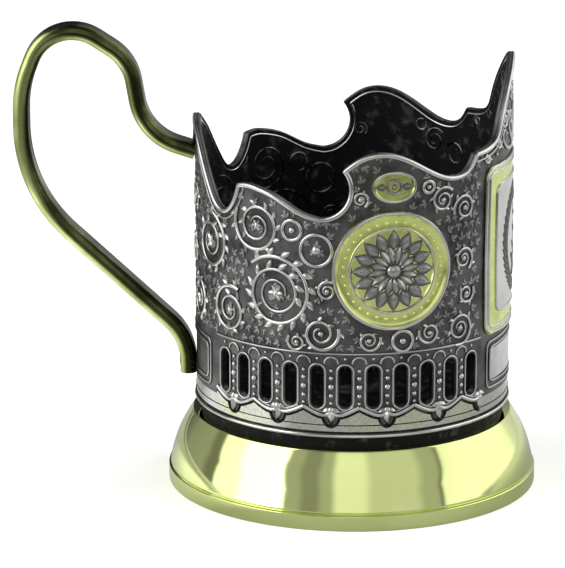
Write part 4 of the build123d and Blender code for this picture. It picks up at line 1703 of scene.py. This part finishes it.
    def light(self, name, azimuth, elevation, distance, size, power):
        """A softbox that faces the holder; the studio's walls draw its mirror image."""
        data = bpy.data.lights.new(name, "AREA")
        data.shape = "RECTANGLE"
        data.size, data.size_y = size
        data.energy = power
        lamp = link_object(name, data)
        lamp.visible_glossy = False
        view = self.direction(radians(azimuth), radians(elevation))
        lamp.location = self.LAMP_TARGET + distance * view
        lamp.rotation_euler = view.to_track_quat("Z", "Y").to_euler()


class PODSTAKANNIK_PT_pieces(bpy.types.Panel):
    """Lists the holder's pieces and the sizes that they take"""
    bl_label = "Podstakannik"
    bl_idname = "PODSTAKANNIK_PT_pieces"
    bl_space_type = "VIEW_3D"
    bl_region_type = "UI"
    bl_category = "Podstakannik"

    def draw(self, context):
        for operator in OPERATORS:
            self.layout.operator(operator.bl_idname)
        for label in SETTINGS:
            group = getattr(context.scene, label)
            box = self.layout.box()
            for setting in group.bl_rna.properties.keys():
                if setting not in ("rna_type", "name"):
                    box.prop(group, setting)


SETTINGS = {
    "band_sizes": BandSizes,
    "relief_sizes": ReliefSizes,
    "foot_sizes": FootSizes,
    "handle_sizes": HandleSizes,
    "finishes": Finishes,
    "stage_settings": StageSettings,
}
OPERATORS = [
    PODSTAKANNIK_OT_band,
    PODSTAKANNIK_OT_rim_bead,
    PODSTAKANNIK_OT_windows,
    PODSTAKANNIK_OT_lambrequin,
    PODSTAKANNIK_OT_scrollwork,
    PODSTAKANNIK_OT_leaves,
    PODSTAKANNIK_OT_crests,
    PODSTAKANNIK_OT_medallions,
    PODSTAKANNIK_OT_plaque,
    PODSTAKANNIK_OT_foot,
    PODSTAKANNIK_OT_neck_and_floor,
    PODSTAKANNIK_OT_handle,
    PODSTAKANNIK_OT_fasteners,
    PODSTAKANNIK_OT_stage,
]


def register():
    for label, settings in SETTINGS.items():
        bpy.utils.register_class(settings)
        setattr(bpy.types.Scene, label, PointerProperty(type=settings))
    for operator in OPERATORS:
        bpy.utils.register_class(operator)
    bpy.utils.register_class(PODSTAKANNIK_PT_pieces)


def unregister():
    bpy.utils.unregister_class(PODSTAKANNIK_PT_pieces)
    for operator in reversed(OPERATORS):
        bpy.utils.unregister_class(operator)
    for label, settings in SETTINGS.items():
        delattr(bpy.types.Scene, label)
        bpy.utils.unregister_class(settings)


def main():
    register()
    for operator in OPERATORS:
        family, name = operator.bl_idname.split(".")
        getattr(getattr(bpy.ops, family), name)()


if __name__ == "__main__":
    main()
